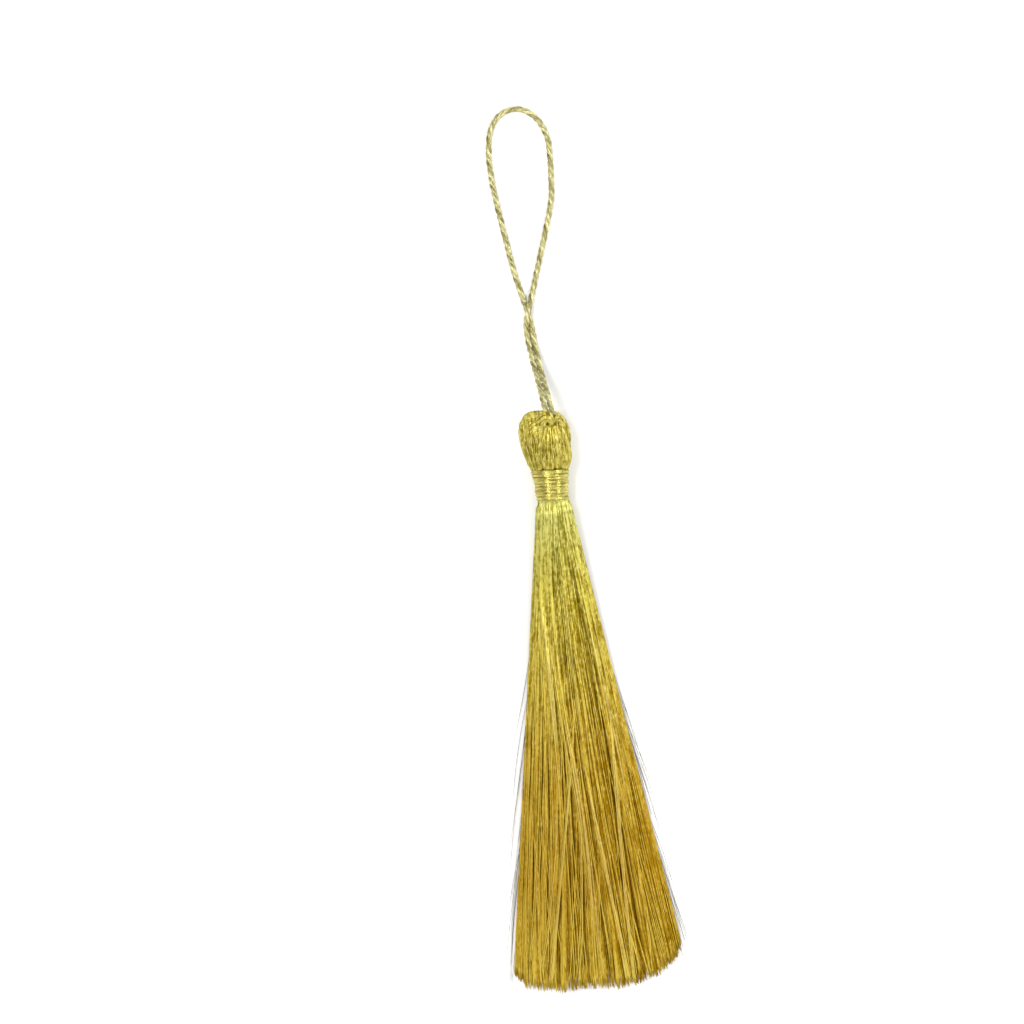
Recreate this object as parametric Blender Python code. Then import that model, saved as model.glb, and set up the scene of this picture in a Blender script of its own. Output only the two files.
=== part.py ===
"""A silky tassel lying flat: a folded yarn hank, its neck binding and its hanging cord.

Metres, +Z up. The tassel lies on the plane z = 0 with its cord towards +Y and its hem
towards -Y. The origin is below the middle of the hank. Tables and named sizes are in
millimetres, and MM turns them into metres.
"""

import math

import bmesh
import bpy
from mathutils import Vector

MM = 0.001
SURFACE_Z = 0.0
PIECE_GAP = 0.3

# The hank: head and skirt are one skein of floss, folded over the cord and bound below the fold.
SKIRT_TOP_Y = 44.4
HEAD_TIP = (-1.1, 65.2, 5.3)

# Sections of the head and the waist, from the tip of the head to the skirt.
HEAD_SECTIONS = [
    # y, left edge, right edge, underside, height of the widest line, top
    (65.02, -2.90, 0.70, 3.4, 5.3, 7.0),
    (64.60, -4.20, 2.00, 1.9, 5.3, 8.2),
    (63.80, -5.05, 3.35, 0.9, 5.3, 9.1),
    (62.80, -5.65, 4.20, 0.3, 5.3, 9.8),
    (61.60, -6.10, 4.80, -0.1, 5.3, 10.3),
    (60.10, -6.30, 5.15, -0.3, 5.3, 10.6),
    (58.40, -6.15, 5.10, -0.3, 5.3, 10.6),
    (56.50, -5.80, 4.95, -0.1, 5.3, 10.3),
    (54.70, -5.20, 4.95, 0.4, 5.2, 9.9),
    (53.30, -4.70, 4.75, 0.8, 5.2, 9.5),
    (52.50, -4.35, 4.20, 1.2, 5.1, 9.0),
    (51.90, -3.50, 3.40, 1.7, 5.1, 8.4),
    (49.70, -3.35, 3.20, 1.7, 5.0, 8.2),
    (47.30, -3.05, 2.95, 1.8, 4.9, 7.9),
    (45.00, -2.80, 2.75, 1.8, 4.8, 7.6),
]
# Sections of the skirt, from the neck to the hem. The first column is a share of its length.
SKIRT_SECTIONS = [
    # share, underside, height of the widest line, top, depth of the gaps between the locks
    (0.000, 1.2, 4.7, 8.2, 0.10),
    (0.025, 0.8, 4.4, 8.1, 0.18),
    (0.060, 0.2, 3.8, 7.8, 0.28),
    (0.105, -0.4, 3.1, 7.3, 0.38),
    (0.160, -0.6, 2.5, 6.9, 0.48),
    (0.240, -0.8, 2.0, 6.3, 0.60),
    (0.350, -0.9, 1.6, 5.8, 0.72),
    (0.500, -1.0, 1.3, 5.3, 0.86),
    (0.650, -1.0, 1.1, 4.9, 1.00),
    (0.800, -1.0, 1.0, 4.5, 1.12),
    (0.900, -0.9, 0.9, 4.1, 1.20),
    (0.960, -0.8, 0.8, 3.6, 1.20),
    (1.000, -0.7, 0.7, 2.7, 1.00),
]
SKIRT_HALF_WIDTH_TOP = 3.75
SKIRT_HALF_WIDTH_HEM = 19.1
# The locks the skirt falls into, from the right edge (0 degrees) over the top to the left edge (180).
LOCKS = [
    # degrees where the lock ends, y that its tip reaches
    (17.0, -57.9),
    (36.0, -60.7),
    (53.0, -63.5),
    (70.0, -64.9),
    (86.0, -65.3),
    (103.0, -64.7),
    (119.0, -65.3),
    (136.0, -64.5),
    (155.0, -63.7),
    (180.0, -60.9),
]
STEPS_PER_LOCK = 3
LOCK_NOTCH = 1.6

# The pit in the top of the head that the cord goes down into.
PIT_CENTRE = (1.05, 62.5, 9.4)
PIT_TILT = math.radians(50.0)
PIT_DIAMETER = 3.5
PIT_DEPTH = 1.8

# The neck binding: a thread wound round the waist, its first turns standing proud.
BINDING_SECTIONS = [
    # y, left edge, right edge, underside, top
    (52.10, -4.50, 4.40, 0.55, 9.45),
    (50.70, -4.40, 4.30, 0.60, 9.30),
    (49.90, -4.15, 4.05, 0.75, 9.05),
    (47.70, -3.95, 3.80, 0.95, 8.70),
    (44.80, -3.75, 3.60, 1.10, 8.40),
]
BINDING_TURNS = 9
BINDING_GROOVE = 0.22
BINDING_SLOPE = -0.05
BINDING_SIDES = 36

# The hanging cord: a twisted cord that leaves the pit as two legs, which cross and open into a loop.
CORD_DIAMETER = 1.2
CORD_POINT_SPACING = 2.4
CORD_ROUTE = [
    # x, y, z of the left leg, from inside the pit over the head's edge to the crossing
    (0.40, 61.75, 8.72),
    (0.38, 62.70, 9.50),
    (0.28, 63.90, 10.10),
    (0.09, 65.20, 10.28),
    (-0.21, 67.20, 9.66),
    (-0.53, 69.40, 8.02),
    (-0.86, 71.80, 5.92),
    (-1.22, 74.20, 3.90),
    (-1.54, 76.80, 2.15),
    (-1.88, 79.60, 1.02),
    (-2.12, 82.20, 0.72),
    (-2.08, 84.60, 1.20),
    (-1.45, 87.30, 2.13),
    (-0.65, 89.90, 1.25),
    # the right side of the loop
    (0.15, 92.30, 0.65),
    (2.10, 98.50, 0.65),
    (3.35, 102.30, 0.65),
    (5.75, 110.30, 0.65),
    (6.55, 114.70, 0.65),
    (6.90, 124.30, 0.65),
    (6.00, 128.50, 0.65),
    # round the top
    (3.80, 131.80, 0.65),
    (0.50, 133.40, 0.65),
    (-3.00, 132.60, 0.65),
    (-5.60, 129.70, 0.65),
    # the left side of the loop
    (-6.70, 125.10, 0.65),
    (-6.80, 119.90, 0.65),
    (-6.30, 114.10, 0.65),
    (-4.60, 102.50, 0.65),
    (-3.60, 96.30, 0.65),
    (-2.40, 91.10, 0.65),
    (-1.45, 87.30, 0.65),
    # the right leg, from the crossing down into the pit
    (-0.86, 83.30, 0.65),
    (-0.58, 79.60, 1.02),
    (0.06, 74.20, 3.90),
    (0.77, 69.40, 8.02),
    (1.42, 65.20, 10.28),
    (1.70, 62.70, 9.50),
    (1.70, 61.75, 8.72),
]

MATERIALS = {
    # base colour, roughness, metallic
    "silk_floss": ((0.50, 0.38, 0.07), 0.38, 0.35),
    "binding_thread": ((0.54, 0.47, 0.12), 0.32, 0.45),
    "twisted_cord": ((0.57, 0.53, 0.27), 0.36, 0.40),
}


def clear_scene():
    """Removes everything the file opened with."""
    for obj in list(bpy.data.objects):
        bpy.data.objects.remove(obj, do_unlink=True)


def make_material(name):
    """A Principled material from the row of that name."""
    colour, roughness, metallic = MATERIALS[name]
    material = bpy.data.materials.new(name)
    material.use_nodes = True
    shader = material.node_tree.nodes["Principled BSDF"]
    shader.inputs["Base Color"].default_value = (*colour, 1.0)
    shader.inputs["Roughness"].default_value = roughness
    shader.inputs["Metallic"].default_value = metallic
    return material


def add_object(name, data, material):
    """Puts a mesh or curve in the scene as one named sub-part."""
    obj = bpy.data.objects.new(name, data)
    bpy.context.scene.collection.objects.link(obj)
    data.materials.append(material)
    return obj


def interpolate(rows, key):
    """The row at this key, from a table whose first column rises or falls steadily."""
    ordered = sorted(rows)
    if key <= ordered[0][0]:
        return ordered[0][1:]
    for low, high in zip(ordered, ordered[1:]):
        if key <= high[0]:
            share = (key - low[0]) / (high[0] - low[0])
            return tuple(a + share * (b - a) for a, b in zip(low[1:], high[1:]))
    return ordered[-1][1:]


def lock_angles():
    """The angles of the ring's top half, STEPS_PER_LOCK to a lock, each with its place in the lock."""
    angles = []
    start = 0.0
    for end, _ in LOCKS:
        for step in range(STEPS_PER_LOCK):
            share = step / STEPS_PER_LOCK
            angles.append((math.radians(start + share * (end - start)), share))
        start = end
    return angles + [(math.pi, 0.0)]


def lock_tip(angle):
    """How far down the yarn at this angle of the ring reaches."""
    degrees = math.degrees(angle)
    middles = []
    start = 0.0
    for end, reach in LOCKS:
        middles.append(((start + end) / 2.0, reach))
        start = end
    return interpolate(middles, degrees)[0]


def ring_points(centre_x, half_width, underside, middle_z, top, gap_depth):
    """One section of the hank: domed over the top, flat where it meets the surface."""
    over = []
    under = []
    for angle, share in lock_angles():
        # A gap runs where two locks meet, and fades out at the section's two edges.
        gap = gap_depth * math.sin(angle) if share == 0.0 else 0.0
        x = centre_x + half_width * math.cos(angle)
        rise = math.sin(angle) ** 0.9
        over.append((x, middle_z + (top - middle_z) * rise - gap))
        under.append((x, max(SURFACE_Z, middle_z - (middle_z - underside) * rise)))
    return over + under[-2:0:-1]


def hank_rings():
    """Every section of the hank as a closed ring of points, from the head's tip to the hem."""
    rings = []
    for y, left, right, underside, middle_z, top in HEAD_SECTIONS:
        ring = ring_points((left + right) / 2.0, (right - left) / 2.0, underside, middle_z, top, 0.0)
        rings.append([(x, y, z) for x, z in ring])
    angles = lock_angles()
    tips = [lock_tip(angle) + (LOCK_NOTCH if share == 0.0 else 0.0) for angle, share in angles]
    tips += tips[-2:0:-1]
    for share, underside, middle_z, top, gap_depth in SKIRT_SECTIONS:
        half_width = SKIRT_HALF_WIDTH_TOP + share * (SKIRT_HALF_WIDTH_HEM - SKIRT_HALF_WIDTH_TOP)
        ring = ring_points(0.0, half_width, underside, middle_z, top, gap_depth)
        rings.append([(x, SKIRT_TOP_Y + share * (tip - SKIRT_TOP_Y), z) for (x, z), tip in zip(ring, tips)])
    return rings


def bridge(mesh, first, second):
    """Faces between two closed rings of vertices."""
    count = len(first)
    for i in range(count):
        j = (i + 1) % count
        mesh.faces.new((first[i], first[j], second[j], second[i]))


def make_yarn_hank():
    """The folded hank: a domed head with a pit for the cord, a waist, and a flat spreading skirt."""
    mesh = bmesh.new()
    rings = [[mesh.verts.new(Vector(p) * MM) for p in ring] for ring in hank_rings()]
    tip = mesh.verts.new(Vector(HEAD_TIP) * MM)
    count = len(rings[0])
    for i in range(count):
        mesh.faces.new((tip, rings[0][(i + 1) % count], rings[0][i]))
    for first, second in zip(rings, rings[1:]):
        bridge(mesh, first, second)
    # The cut end: a strip between the top edge and the underside, lock by lock.
    hem = rings[-1]
    half = count // 2
    mesh.faces.new((hem[0], hem[1], hem[-1]))
    for i in range(1, half - 1):
        mesh.faces.new((hem[i], hem[i + 1], hem[-i - 1], hem[-i]))
    mesh.faces.new((hem[half - 1], hem[half], hem[half + 1]))
    bmesh.ops.recalc_face_normals(mesh, faces=mesh.faces)
    data = bpy.data.meshes.new("yarn_hank")
    mesh.to_mesh(data)
    mesh.free()
    data.shade_smooth()
    hank = add_object("yarn_hank", data, make_material("silk_floss"))
    cut = hank.modifiers.new("pit", "BOOLEAN")
    cut.operation = "DIFFERENCE"
    cut.solver = "EXACT"
    cut.object = make_pit_cutter()
    return hank


def make_pit_cutter():
    """The round cutter for the pit, leaning back so that the pit faces up and out of the head."""
    length = 3.0 * PIT_DEPTH
    mesh = bmesh.new()
    bmesh.ops.create_cone(
        mesh,
        cap_ends=True,
        segments=20,
        radius1=PIT_DIAMETER / 2.0 * MM,
        radius2=PIT_DIAMETER / 2.0 * MM,
        depth=length * MM,
    )
    bmesh.ops.translate(mesh, verts=mesh.verts, vec=(0.0, 0.0, (length / 2.0 - PIT_DEPTH) * MM))
    data = bpy.data.meshes.new("pit_cutter")
    mesh.to_mesh(data)
    mesh.free()
    cutter = bpy.data.objects.new("pit_cutter", data)
    bpy.context.scene.collection.objects.link(cutter)
    cutter.location = Vector(PIT_CENTRE) * MM
    cutter.rotation_euler = (-PIT_TILT, 0.0, 0.0)
    cutter.hide_render = True
    cutter.display_type = "WIRE"
    return cutter


def binding_ring(y, inset):
    """One ring of the binding's outside at this height on the neck, drawn in by inset."""
    left, right, underside, top = interpolate(BINDING_SECTIONS, y)
    half_width = (right - left) / 2.0 - inset
    half_height = (top - underside) / 2.0 - inset
    points = []
    for side in range(BINDING_SIDES):
        angle = 2.0 * math.pi * side / BINDING_SIDES
        x = (left + right) / 2.0 + half_width * math.cos(angle)
        z = (top + underside) / 2.0 + half_height * math.sin(angle)
        points.append((x, y + BINDING_SLOPE * x, z))
    return points


def waist_ring(y):
    """One ring of the binding's inside, a gap away from the yarn that it holds."""
    left, right, underside, _, top = interpolate(HEAD_SECTIONS, y)
    points = []
    for side in range(BINDING_SIDES):
        angle = 2.0 * math.pi * side / BINDING_SIDES
        x = (left + right) / 2.0 + ((right - left) / 2.0 + PIECE_GAP) * math.cos(angle)
        z = (top + underside) / 2.0 + ((top - underside) / 2.0 + PIECE_GAP) * math.sin(angle)
        points.append((x, y + BINDING_SLOPE * x, z))
    return points


def make_neck_binding():
    """The wound binding: a sleeve round the waist, ridged by its turns."""
    top_y = BINDING_SECTIONS[0][0] - PIECE_GAP
    end_y = BINDING_SECTIONS[-1][0] + PIECE_GAP
    pitch = (top_y - end_y) / BINDING_TURNS
    outside = [binding_ring(top_y, BINDING_GROOVE)]
    for turn in range(BINDING_TURNS):
        outside.append(binding_ring(top_y - (turn + 0.3) * pitch, 0.0))
        outside.append(binding_ring(top_y - (turn + 0.7) * pitch, 0.0))
        outside.append(binding_ring(top_y - (turn + 1.0) * pitch, BINDING_GROOVE))
    inside = [waist_ring(end_y), waist_ring((top_y + end_y) / 2.0), waist_ring(top_y)]
    mesh = bmesh.new()
    rings = [[mesh.verts.new(Vector(p) * MM) for p in ring] for ring in outside + inside]
    for first, second in zip(rings, rings[1:] + rings[:1]):
        bridge(mesh, first, second)
    bmesh.ops.recalc_face_normals(mesh, faces=mesh.faces)
    data = bpy.data.meshes.new("neck_binding")
    mesh.to_mesh(data)
    mesh.free()
    data.shade_smooth()
    return add_object("neck_binding", data, make_material("binding_thread"))


def smooth_route(route, spacing):
    """Points an even spacing apart on the smooth curve through the route's points."""
    knots = [Vector(p) for p in route]
    knots = [2 * knots[0] - knots[1]] + knots + [2 * knots[-1] - knots[-2]]
    fine = []
    for before, start, end, after in zip(knots, knots[1:], knots[2:], knots[3:]):
        for step in range(40):
            t = step / 40.0
            fine.append(
                0.5
                * (
                    2.0 * start
                    + (end - before) * t
                    + (2.0 * before - 5.0 * start + 4.0 * end - after) * t * t
                    + (3.0 * start - before - 3.0 * end + after) * t**3
                )
            )
    fine.append(knots[-2])
    travelled = [0.0]
    for a, b in zip(fine, fine[1:]):
        travelled.append(travelled[-1] + (b - a).length)
    count = round(travelled[-1] / spacing)
    points = []
    at = 0
    for index in range(count + 1):
        goal = travelled[-1] * index / count
        while at < len(fine) - 2 and travelled[at + 1] < goal:
            at += 1
        share = (goal - travelled[at]) / (travelled[at + 1] - travelled[at])
        points.append(fine[at].lerp(fine[at + 1], min(1.0, share)))
    return points


def make_hanging_cord():
    """The cord: one round tube along its route, both ends down in the pit."""
    points = smooth_route(CORD_ROUTE, CORD_POINT_SPACING)
    curve = bpy.data.curves.new("hanging_cord", "CURVE")
    curve.dimensions = "3D"
    curve.bevel_depth = CORD_DIAMETER / 2.0 * MM
    curve.bevel_resolution = 2
    curve.use_fill_caps = True
    spline = curve.splines.new("POLY")
    spline.points.add(len(points) - 1)
    for target, point in zip(spline.points, points):
        target.co = (*(point * MM), 1.0)
    return add_object("hanging_cord", curve, make_material("twisted_cord"))


def main():
    clear_scene()
    make_yarn_hank()
    make_neck_binding()
    make_hanging_cord()


main()
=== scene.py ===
"""Looks of one gold silk tassel: its folded head, wound neck, fanned skirt and twisted hanging cord.

The tassel lies on its back with the skirt towards -Y and the loop towards +Y. Tables of sizes are in
millimetres, x across the tassel, y along it and z up from the surface that it lies on, and every mesh is
written in metres.
"""

import logging
import math
from dataclasses import dataclass, field
from enum import Enum

import bpy
import numpy as np
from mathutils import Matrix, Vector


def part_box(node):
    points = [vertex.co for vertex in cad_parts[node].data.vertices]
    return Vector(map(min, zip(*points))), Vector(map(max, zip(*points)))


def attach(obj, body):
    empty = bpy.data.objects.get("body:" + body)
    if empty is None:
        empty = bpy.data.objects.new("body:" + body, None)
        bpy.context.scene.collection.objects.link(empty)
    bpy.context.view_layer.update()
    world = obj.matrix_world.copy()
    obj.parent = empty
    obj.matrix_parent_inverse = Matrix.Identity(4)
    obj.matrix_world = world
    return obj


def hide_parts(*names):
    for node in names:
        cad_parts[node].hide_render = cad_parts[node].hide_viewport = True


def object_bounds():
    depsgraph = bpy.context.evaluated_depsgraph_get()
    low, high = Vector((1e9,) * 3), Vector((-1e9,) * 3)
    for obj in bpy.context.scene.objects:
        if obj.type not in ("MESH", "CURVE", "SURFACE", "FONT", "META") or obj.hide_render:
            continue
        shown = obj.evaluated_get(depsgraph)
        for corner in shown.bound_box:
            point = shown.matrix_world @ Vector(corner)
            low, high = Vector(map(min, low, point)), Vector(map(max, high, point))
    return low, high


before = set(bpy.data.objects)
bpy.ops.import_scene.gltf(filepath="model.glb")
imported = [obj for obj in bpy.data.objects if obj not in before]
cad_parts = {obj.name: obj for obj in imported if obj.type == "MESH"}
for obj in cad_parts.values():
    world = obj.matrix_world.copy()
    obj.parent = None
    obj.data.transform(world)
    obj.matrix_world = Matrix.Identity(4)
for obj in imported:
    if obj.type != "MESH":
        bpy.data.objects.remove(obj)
cad_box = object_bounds()

MM = 0.001
BODY = "root"
SIDE_MARGIN = 0.1  # share of a strand's column in the map that stays empty at each side
END_MARGIN = 0.01  # share that stays empty at each end
# How far out a strand lies also sets the floss's painted shade and highlight.
STRAND_DATA = "strand"  # per point: tone of the strand, millimetres along it, how far out it lies

log = logging.getLogger("silk_tassel")


class Slot(Enum):
    """The record's material slots."""

    FLOSS = "silk_floss"
    BINDING = "binding_thread"
    CORD = "twisted_cord"


class Node(Enum):
    """The solids of the frame that the modelled pieces stand for."""

    HANK = "yarn_hank"
    BINDING = "neck_binding"
    CORD = "hanging_cord"


def box_mm(node: Node) -> tuple[np.ndarray, np.ndarray]:
    """A solid's lowest and highest corner in millimetres.

    Args:
        node: The solid to measure.

    Returns:
        The lowest and the highest corner.
    """
    low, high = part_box(node.value)
    return np.array(low) / MM, np.array(high) / MM


# --------------------------------------------------------------------------------------------------
# Shader writing
# --------------------------------------------------------------------------------------------------


class Value:
    """A shader socket that holds a number and grows Math nodes where an expression uses it."""

    def __init__(self, shader: "Shader", socket: bpy.types.NodeSocket) -> None:
        """Wraps a socket.

        Args:
            shader: The shader that the socket belongs to.
            socket: The output that gives the number.
        """
        self.shader = shader
        self.socket = socket

    def math(self, operation: str, *operands: "Value | float", clamp: bool = False) -> "Value":
        """Adds one Math node.

        Args:
            operation: The node's operation.
            operands: Its inputs, in order.
            clamp: Whether the result is held between 0 and 1.

        Returns:
            The result.
        """
        settings = {"operation": operation, "use_clamp": clamp}
        return self.shader.value("ShaderNodeMath", settings, dict(enumerate(operands)))

    def __add__(self, other: "Value | float") -> "Value":
        """self + other."""
        return self.math("ADD", self, other)

    def __radd__(self, other: float) -> "Value":
        """other + self."""
        return self.math("ADD", other, self)

    def __sub__(self, other: "Value | float") -> "Value":
        """self - other."""
        return self.math("SUBTRACT", self, other)

    def __rsub__(self, other: float) -> "Value":
        """other - self."""
        return self.math("SUBTRACT", other, self)

    def __mul__(self, other: "Value | float") -> "Value":
        """self * other."""
        return self.math("MULTIPLY", self, other)

    def __rmul__(self, other: float) -> "Value":
        """other * self."""
        return self.math("MULTIPLY", other, self)

    def __truediv__(self, other: "Value | float") -> "Value":
        """self / other."""
        return self.math("DIVIDE", self, other)

    def __rtruediv__(self, other: float) -> "Value":
        """other / self."""
        return self.math("DIVIDE", other, self)

    def held(self) -> "Value":
        """The number held between 0 and 1."""
        return self.math("ADD", self, 0.0, clamp=True)

    def size(self) -> "Value":
        """The number without its sign."""
        return self.math("ABSOLUTE", self)

    def above(self, start: float, full: float) -> "Value":
        """How far the number is from start, 0, to full, 1.

        Args:
            start: The number that gives 0.
            full: The number that gives 1.

        Returns:
            The share, held between 0 and 1.
        """
        return ((self - start) * (1.0 / (full - start))).held()


class Shader:
    """A material's node tree, with one method that adds a node of any kind."""

    def __init__(self, name: str) -> None:
        """Makes an empty node material.

        Args:
            name: The material's name.
        """
        self.material = bpy.data.materials.new(name)
        self.material.use_nodes = True
        self.tree = self.material.node_tree
        self.tree.nodes.clear()

    def node(
        self,
        kind: str,
        settings: dict[str, object] | None = None,
        inputs: dict[str | int, object] | None = None,
    ) -> bpy.types.Node:
        """Adds a node, sets it up and then fills its sockets.

        Args:
            kind: The node's type.
            settings: Its own settings, set first. "stops" holds a ramp's stops.
            inputs: A number, colour, Value or output for each socket, by name or place.

        Returns:
            The node.
        """
        node = self.tree.nodes.new(kind)
        for key, setting in (settings or {}).items():
            if key == "stops":
                self._set_stops(node.color_ramp, setting)
            else:
                setattr(node, key, setting)
        for key, given in (inputs or {}).items():
            source = given.socket if isinstance(given, Value) else given
            if isinstance(source, bpy.types.NodeSocket):
                self.tree.links.new(source, node.inputs[key])
            else:
                node.inputs[key].default_value = source
        return node

    def _set_stops(self, ramp: bpy.types.ColorRamp, stops: list[tuple[float, tuple]]) -> None:
        """Writes a ramp's stops.

        Args:
            ramp: The ramp to write.
            stops: The place and colour of each stop.
        """
        while len(ramp.elements) < len(stops):
            ramp.elements.new(1.0)
        for element, (place, colour) in zip(ramp.elements, stops):
            element.position = place
            element.color = (*colour, 1.0)

    def value(
        self,
        kind: str,
        settings: dict[str, object] | None = None,
        inputs: dict[str | int, object] | None = None,
    ) -> Value:
        """Adds a node and wraps its first output.

        Args:
            kind: The node's type.
            settings: Its own settings.
            inputs: What its sockets get.

        Returns:
            The output as a Value.
        """
        return Value(self, self.node(kind, settings, inputs).outputs[0])

    def ramp(self, factor: Value, stops: list[tuple[float, tuple]]) -> bpy.types.NodeSocket:
        """A colour that runs through stops.

        Args:
            factor: Where to read, from 0 to 1.
            stops: The place and colour of each stop.

        Returns:
            The colour's output.
        """
        return self.node("ShaderNodeValToRGB", {"stops": stops}, {"Fac": factor}).outputs["Color"]

    def mix(self, factor: Value | float, first: object, second: object) -> bpy.types.NodeSocket:
        """Mixes two colours.

        Args:
            factor: The second colour's share.
            first: The first colour or output.
            second: The second colour or output.

        Returns:
            The colour's output.
        """
        first, second = (c if isinstance(c, bpy.types.NodeSocket) else (*c, 1.0) for c in (first, second))
        inputs = {0: factor, 6: first, 7: second}
        return self.node("ShaderNodeMix", {"data_type": "RGBA"}, inputs).outputs[2]

    def _apart(self, vector: bpy.types.NodeSocket) -> tuple[Value, ...]:
        """A vector's three numbers."""
        apart = self.node("ShaderNodeSeparateXYZ", None, {0: vector})
        return tuple(Value(self, output) for output in apart.outputs)

    def place(self) -> tuple[Value, ...]:
        """The point's x, y and z in metres."""
        return self._apart(self.node("ShaderNodeTexCoord").outputs["Object"])

    def strand(self) -> tuple[Value, ...]:
        """The strand's tone, the millimetres along it and how far out it lies."""
        given = self.node("ShaderNodeAttribute", {"attribute_name": STRAND_DATA})
        return self._apart(given.outputs["Vector"])

    def noise(self, detail: float, x: Value | float, y: Value | float, z: Value | float = 0.0) -> Value:
        """Soft noise about 0.5.

        Args:
            detail: How many finer layers it has.
            x: Where it is read, counted in blotches.
            y: The same in the second direction.
            z: The same in the third direction.

        Returns:
            The noise.
        """
        at = self.node("ShaderNodeCombineXYZ", None, {0: x, 1: y, 2: z}).outputs[0]
        return self.value("ShaderNodeTexNoise", None, {"Vector": at, "Scale": 1.0, "Detail": detail})

    def finish(
        self, sockets: dict[str, object], grain: Value, relief: float, depth: float
    ) -> bpy.types.Material:
        """Ends the shader in a Principled node with a bump.

        Args:
            sockets: What the Principled node gets.
            grain: The height that the bump follows.
            relief: The bump's strength.
            depth: The bump's height in metres.

        Returns:
            The material.
        """
        inputs = {"Strength": relief, "Distance": depth, "Height": grain}
        bump = self.node("ShaderNodeBump", None, inputs).outputs["Normal"]
        surface = self.node("ShaderNodeBsdfPrincipled", None, {**sockets, "Normal": bump})
        self.node("ShaderNodeOutputMaterial", None, {"Surface": surface.outputs["BSDF"]})
        return self.material


# --------------------------------------------------------------------------------------------------
# Finishes
# --------------------------------------------------------------------------------------------------

Colour = tuple[float, float, float]


@dataclass(frozen=True)
class FlossFinish:
    """Metallic silk floss: each strand has its tone, and the gold warms from the neck to the hem.

    light and shade hold, at their share of the way from the head's tip to the hem, the colour of the
    lightest and of the darkest strands. left_painted_light lightens the tassel's left side as painted light;
    head_painted_highlight paints a highlight on the head's right side, and rim_painted_light paints light on
    the strands just under the binding; hem_shade darkens the hem. The weights say how much a strand's own
    tone and its two kinds of patches count. broad, narrow and mottle hold a blotch's weight at the neck and
    how much of it is lost down to the hem. Strands that lie deep in are darkened as painted shade, and raised
    ones are lightened as a painted highlight.
    """

    name: str
    top: float
    neck: float
    bottom: float
    light: tuple[tuple[float, Colour], ...] = (
        (0.00, (0.70, 0.61, 0.150)),
        (0.11, (0.68, 0.59, 0.140)),
        (0.17, (0.71, 0.69, 0.210)),
        (0.30, (0.67, 0.58, 0.110)),
        (0.60, (0.56, 0.40, 0.050)),
        (0.82, (0.55, 0.36, 0.036)),
        (1.00, (0.72, 0.54, 0.070)),
    )
    shade: tuple[tuple[float, Colour], ...] = (
        (0.00, (0.27, 0.205, 0.010)),
        (0.11, (0.27, 0.205, 0.010)),
        (0.17, (0.31, 0.275, 0.030)),
        (0.30, (0.25, 0.180, 0.004)),
        (0.60, (0.31, 0.165, 0.001)),
        (1.00, (0.37, 0.205, 0.001)),
    )
    glint: Colour = (0.84, 0.78, 0.38)
    left_painted_light: float = 0.22
    hem_shade: float = 0.09
    head_painted_highlight: float = 0.15
    rim_painted_light: float = 0.45
    rim_light_reach: float = 0.0014
    tone_weight: float = 0.72
    patch_weight: float = 0.8
    fine_weight: float = 1.3
    broad: tuple[float, float] = (1.5, 1.0)
    narrow: tuple[float, float] = (2.5, 1.0)
    mottle: tuple[float, float] = (2.1, 1.3)
    brightness: float = 0.15
    proud_glint: float = 0.22
    neck_half_width: float = 0.00375
    hem_spread: float = 4.1
    metallic: float = 0.7
    specular: float = 0.05
    roughness: float = 0.42

    def material(self) -> bpy.types.Material:
        """The floss's material.

        Returns:
            The material.
        """
        shader = Shader(self.name)
        x, y, _ = shader.place()
        tone, along, out = shader.strand()
        share = y.above(self.top, self.bottom)
        down = y.above(self.neck, self.bottom)
        across = x / (self.neck_half_width * (1.0 + self.hem_spread * down))
        broad = shader.noise(2.0, across * 6.0, y * 190.0) - 0.5
        narrow = shader.noise(1.0, across * 12.0, y * 170.0) - 0.5
        patches = shader.noise(3.0, tone * 97.0, along * 0.55)
        fine = shader.noise(2.0, tone * 61.0, along * 0.9)
        mottle = shader.noise(1.0, x * 1700.0, y * 900.0) - 0.5
        # Painted light: the tassel's left side is lightened, more so towards the hem.
        side = x.above(0.006, -0.014)
        mixed = tone * self.tone_weight + (patches - 0.5) * self.patch_weight
        mixed = mixed + (fine - 0.5) * self.fine_weight + side * self.left_painted_light * (0.5 + down)
        mixed = mixed - down * self.hem_shade + self.brightness
        for blotches, (weight, loss) in ((broad, self.broad), (narrow, self.narrow), (mottle, self.mottle)):
            mixed = mixed + blotches * (weight - loss * down)
        # Painted highlight: the head's right side, from the neck up, is lightened.
        mixed = mixed + x.above(0.0006, 0.0022) * y.above(self.neck, self.neck + 0.012) * self.head_painted_highlight
        # Painted light: a band of strands where the skirt leaves the binding is lightened.
        rim = (1.0 - ((y - self.neck) * (1.0 / self.rim_light_reach)).size()).held()
        mixed = mixed + rim * self.rim_painted_light
        # Painted shade and highlight: strands that lie deep under the form are darkened, raised ones
        # lightened.
        depth = out.above(-1.1, 0.1)
        mixed = mixed * (0.30 + 0.70 * depth) + 0.25 * out.above(0.25, 0.8)
        gold = shader.mix(
            mixed.held(),
            shader.ramp(share, list(self.shade)),
            shader.ramp(share, list(self.light)),
        )
        spark = fine.above(0.55, 0.75) * (mottle + 0.5).above(0.42, 0.62)
        proud = out.above(0.55, 0.90) * self.proud_glint
        colour = shader.mix((spark * (0.75 - 0.45 * share) + proud).held(), gold, self.glint)
        sockets = {
            "Base Color": colour,
            "Metallic": self.metallic,
            "Roughness": self.roughness + (patches - 0.5) * 0.35,
            "Specular IOR Level": self.specular,
        }
        return shader.finish(sockets, fine, 0.35, 0.00007)


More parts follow.
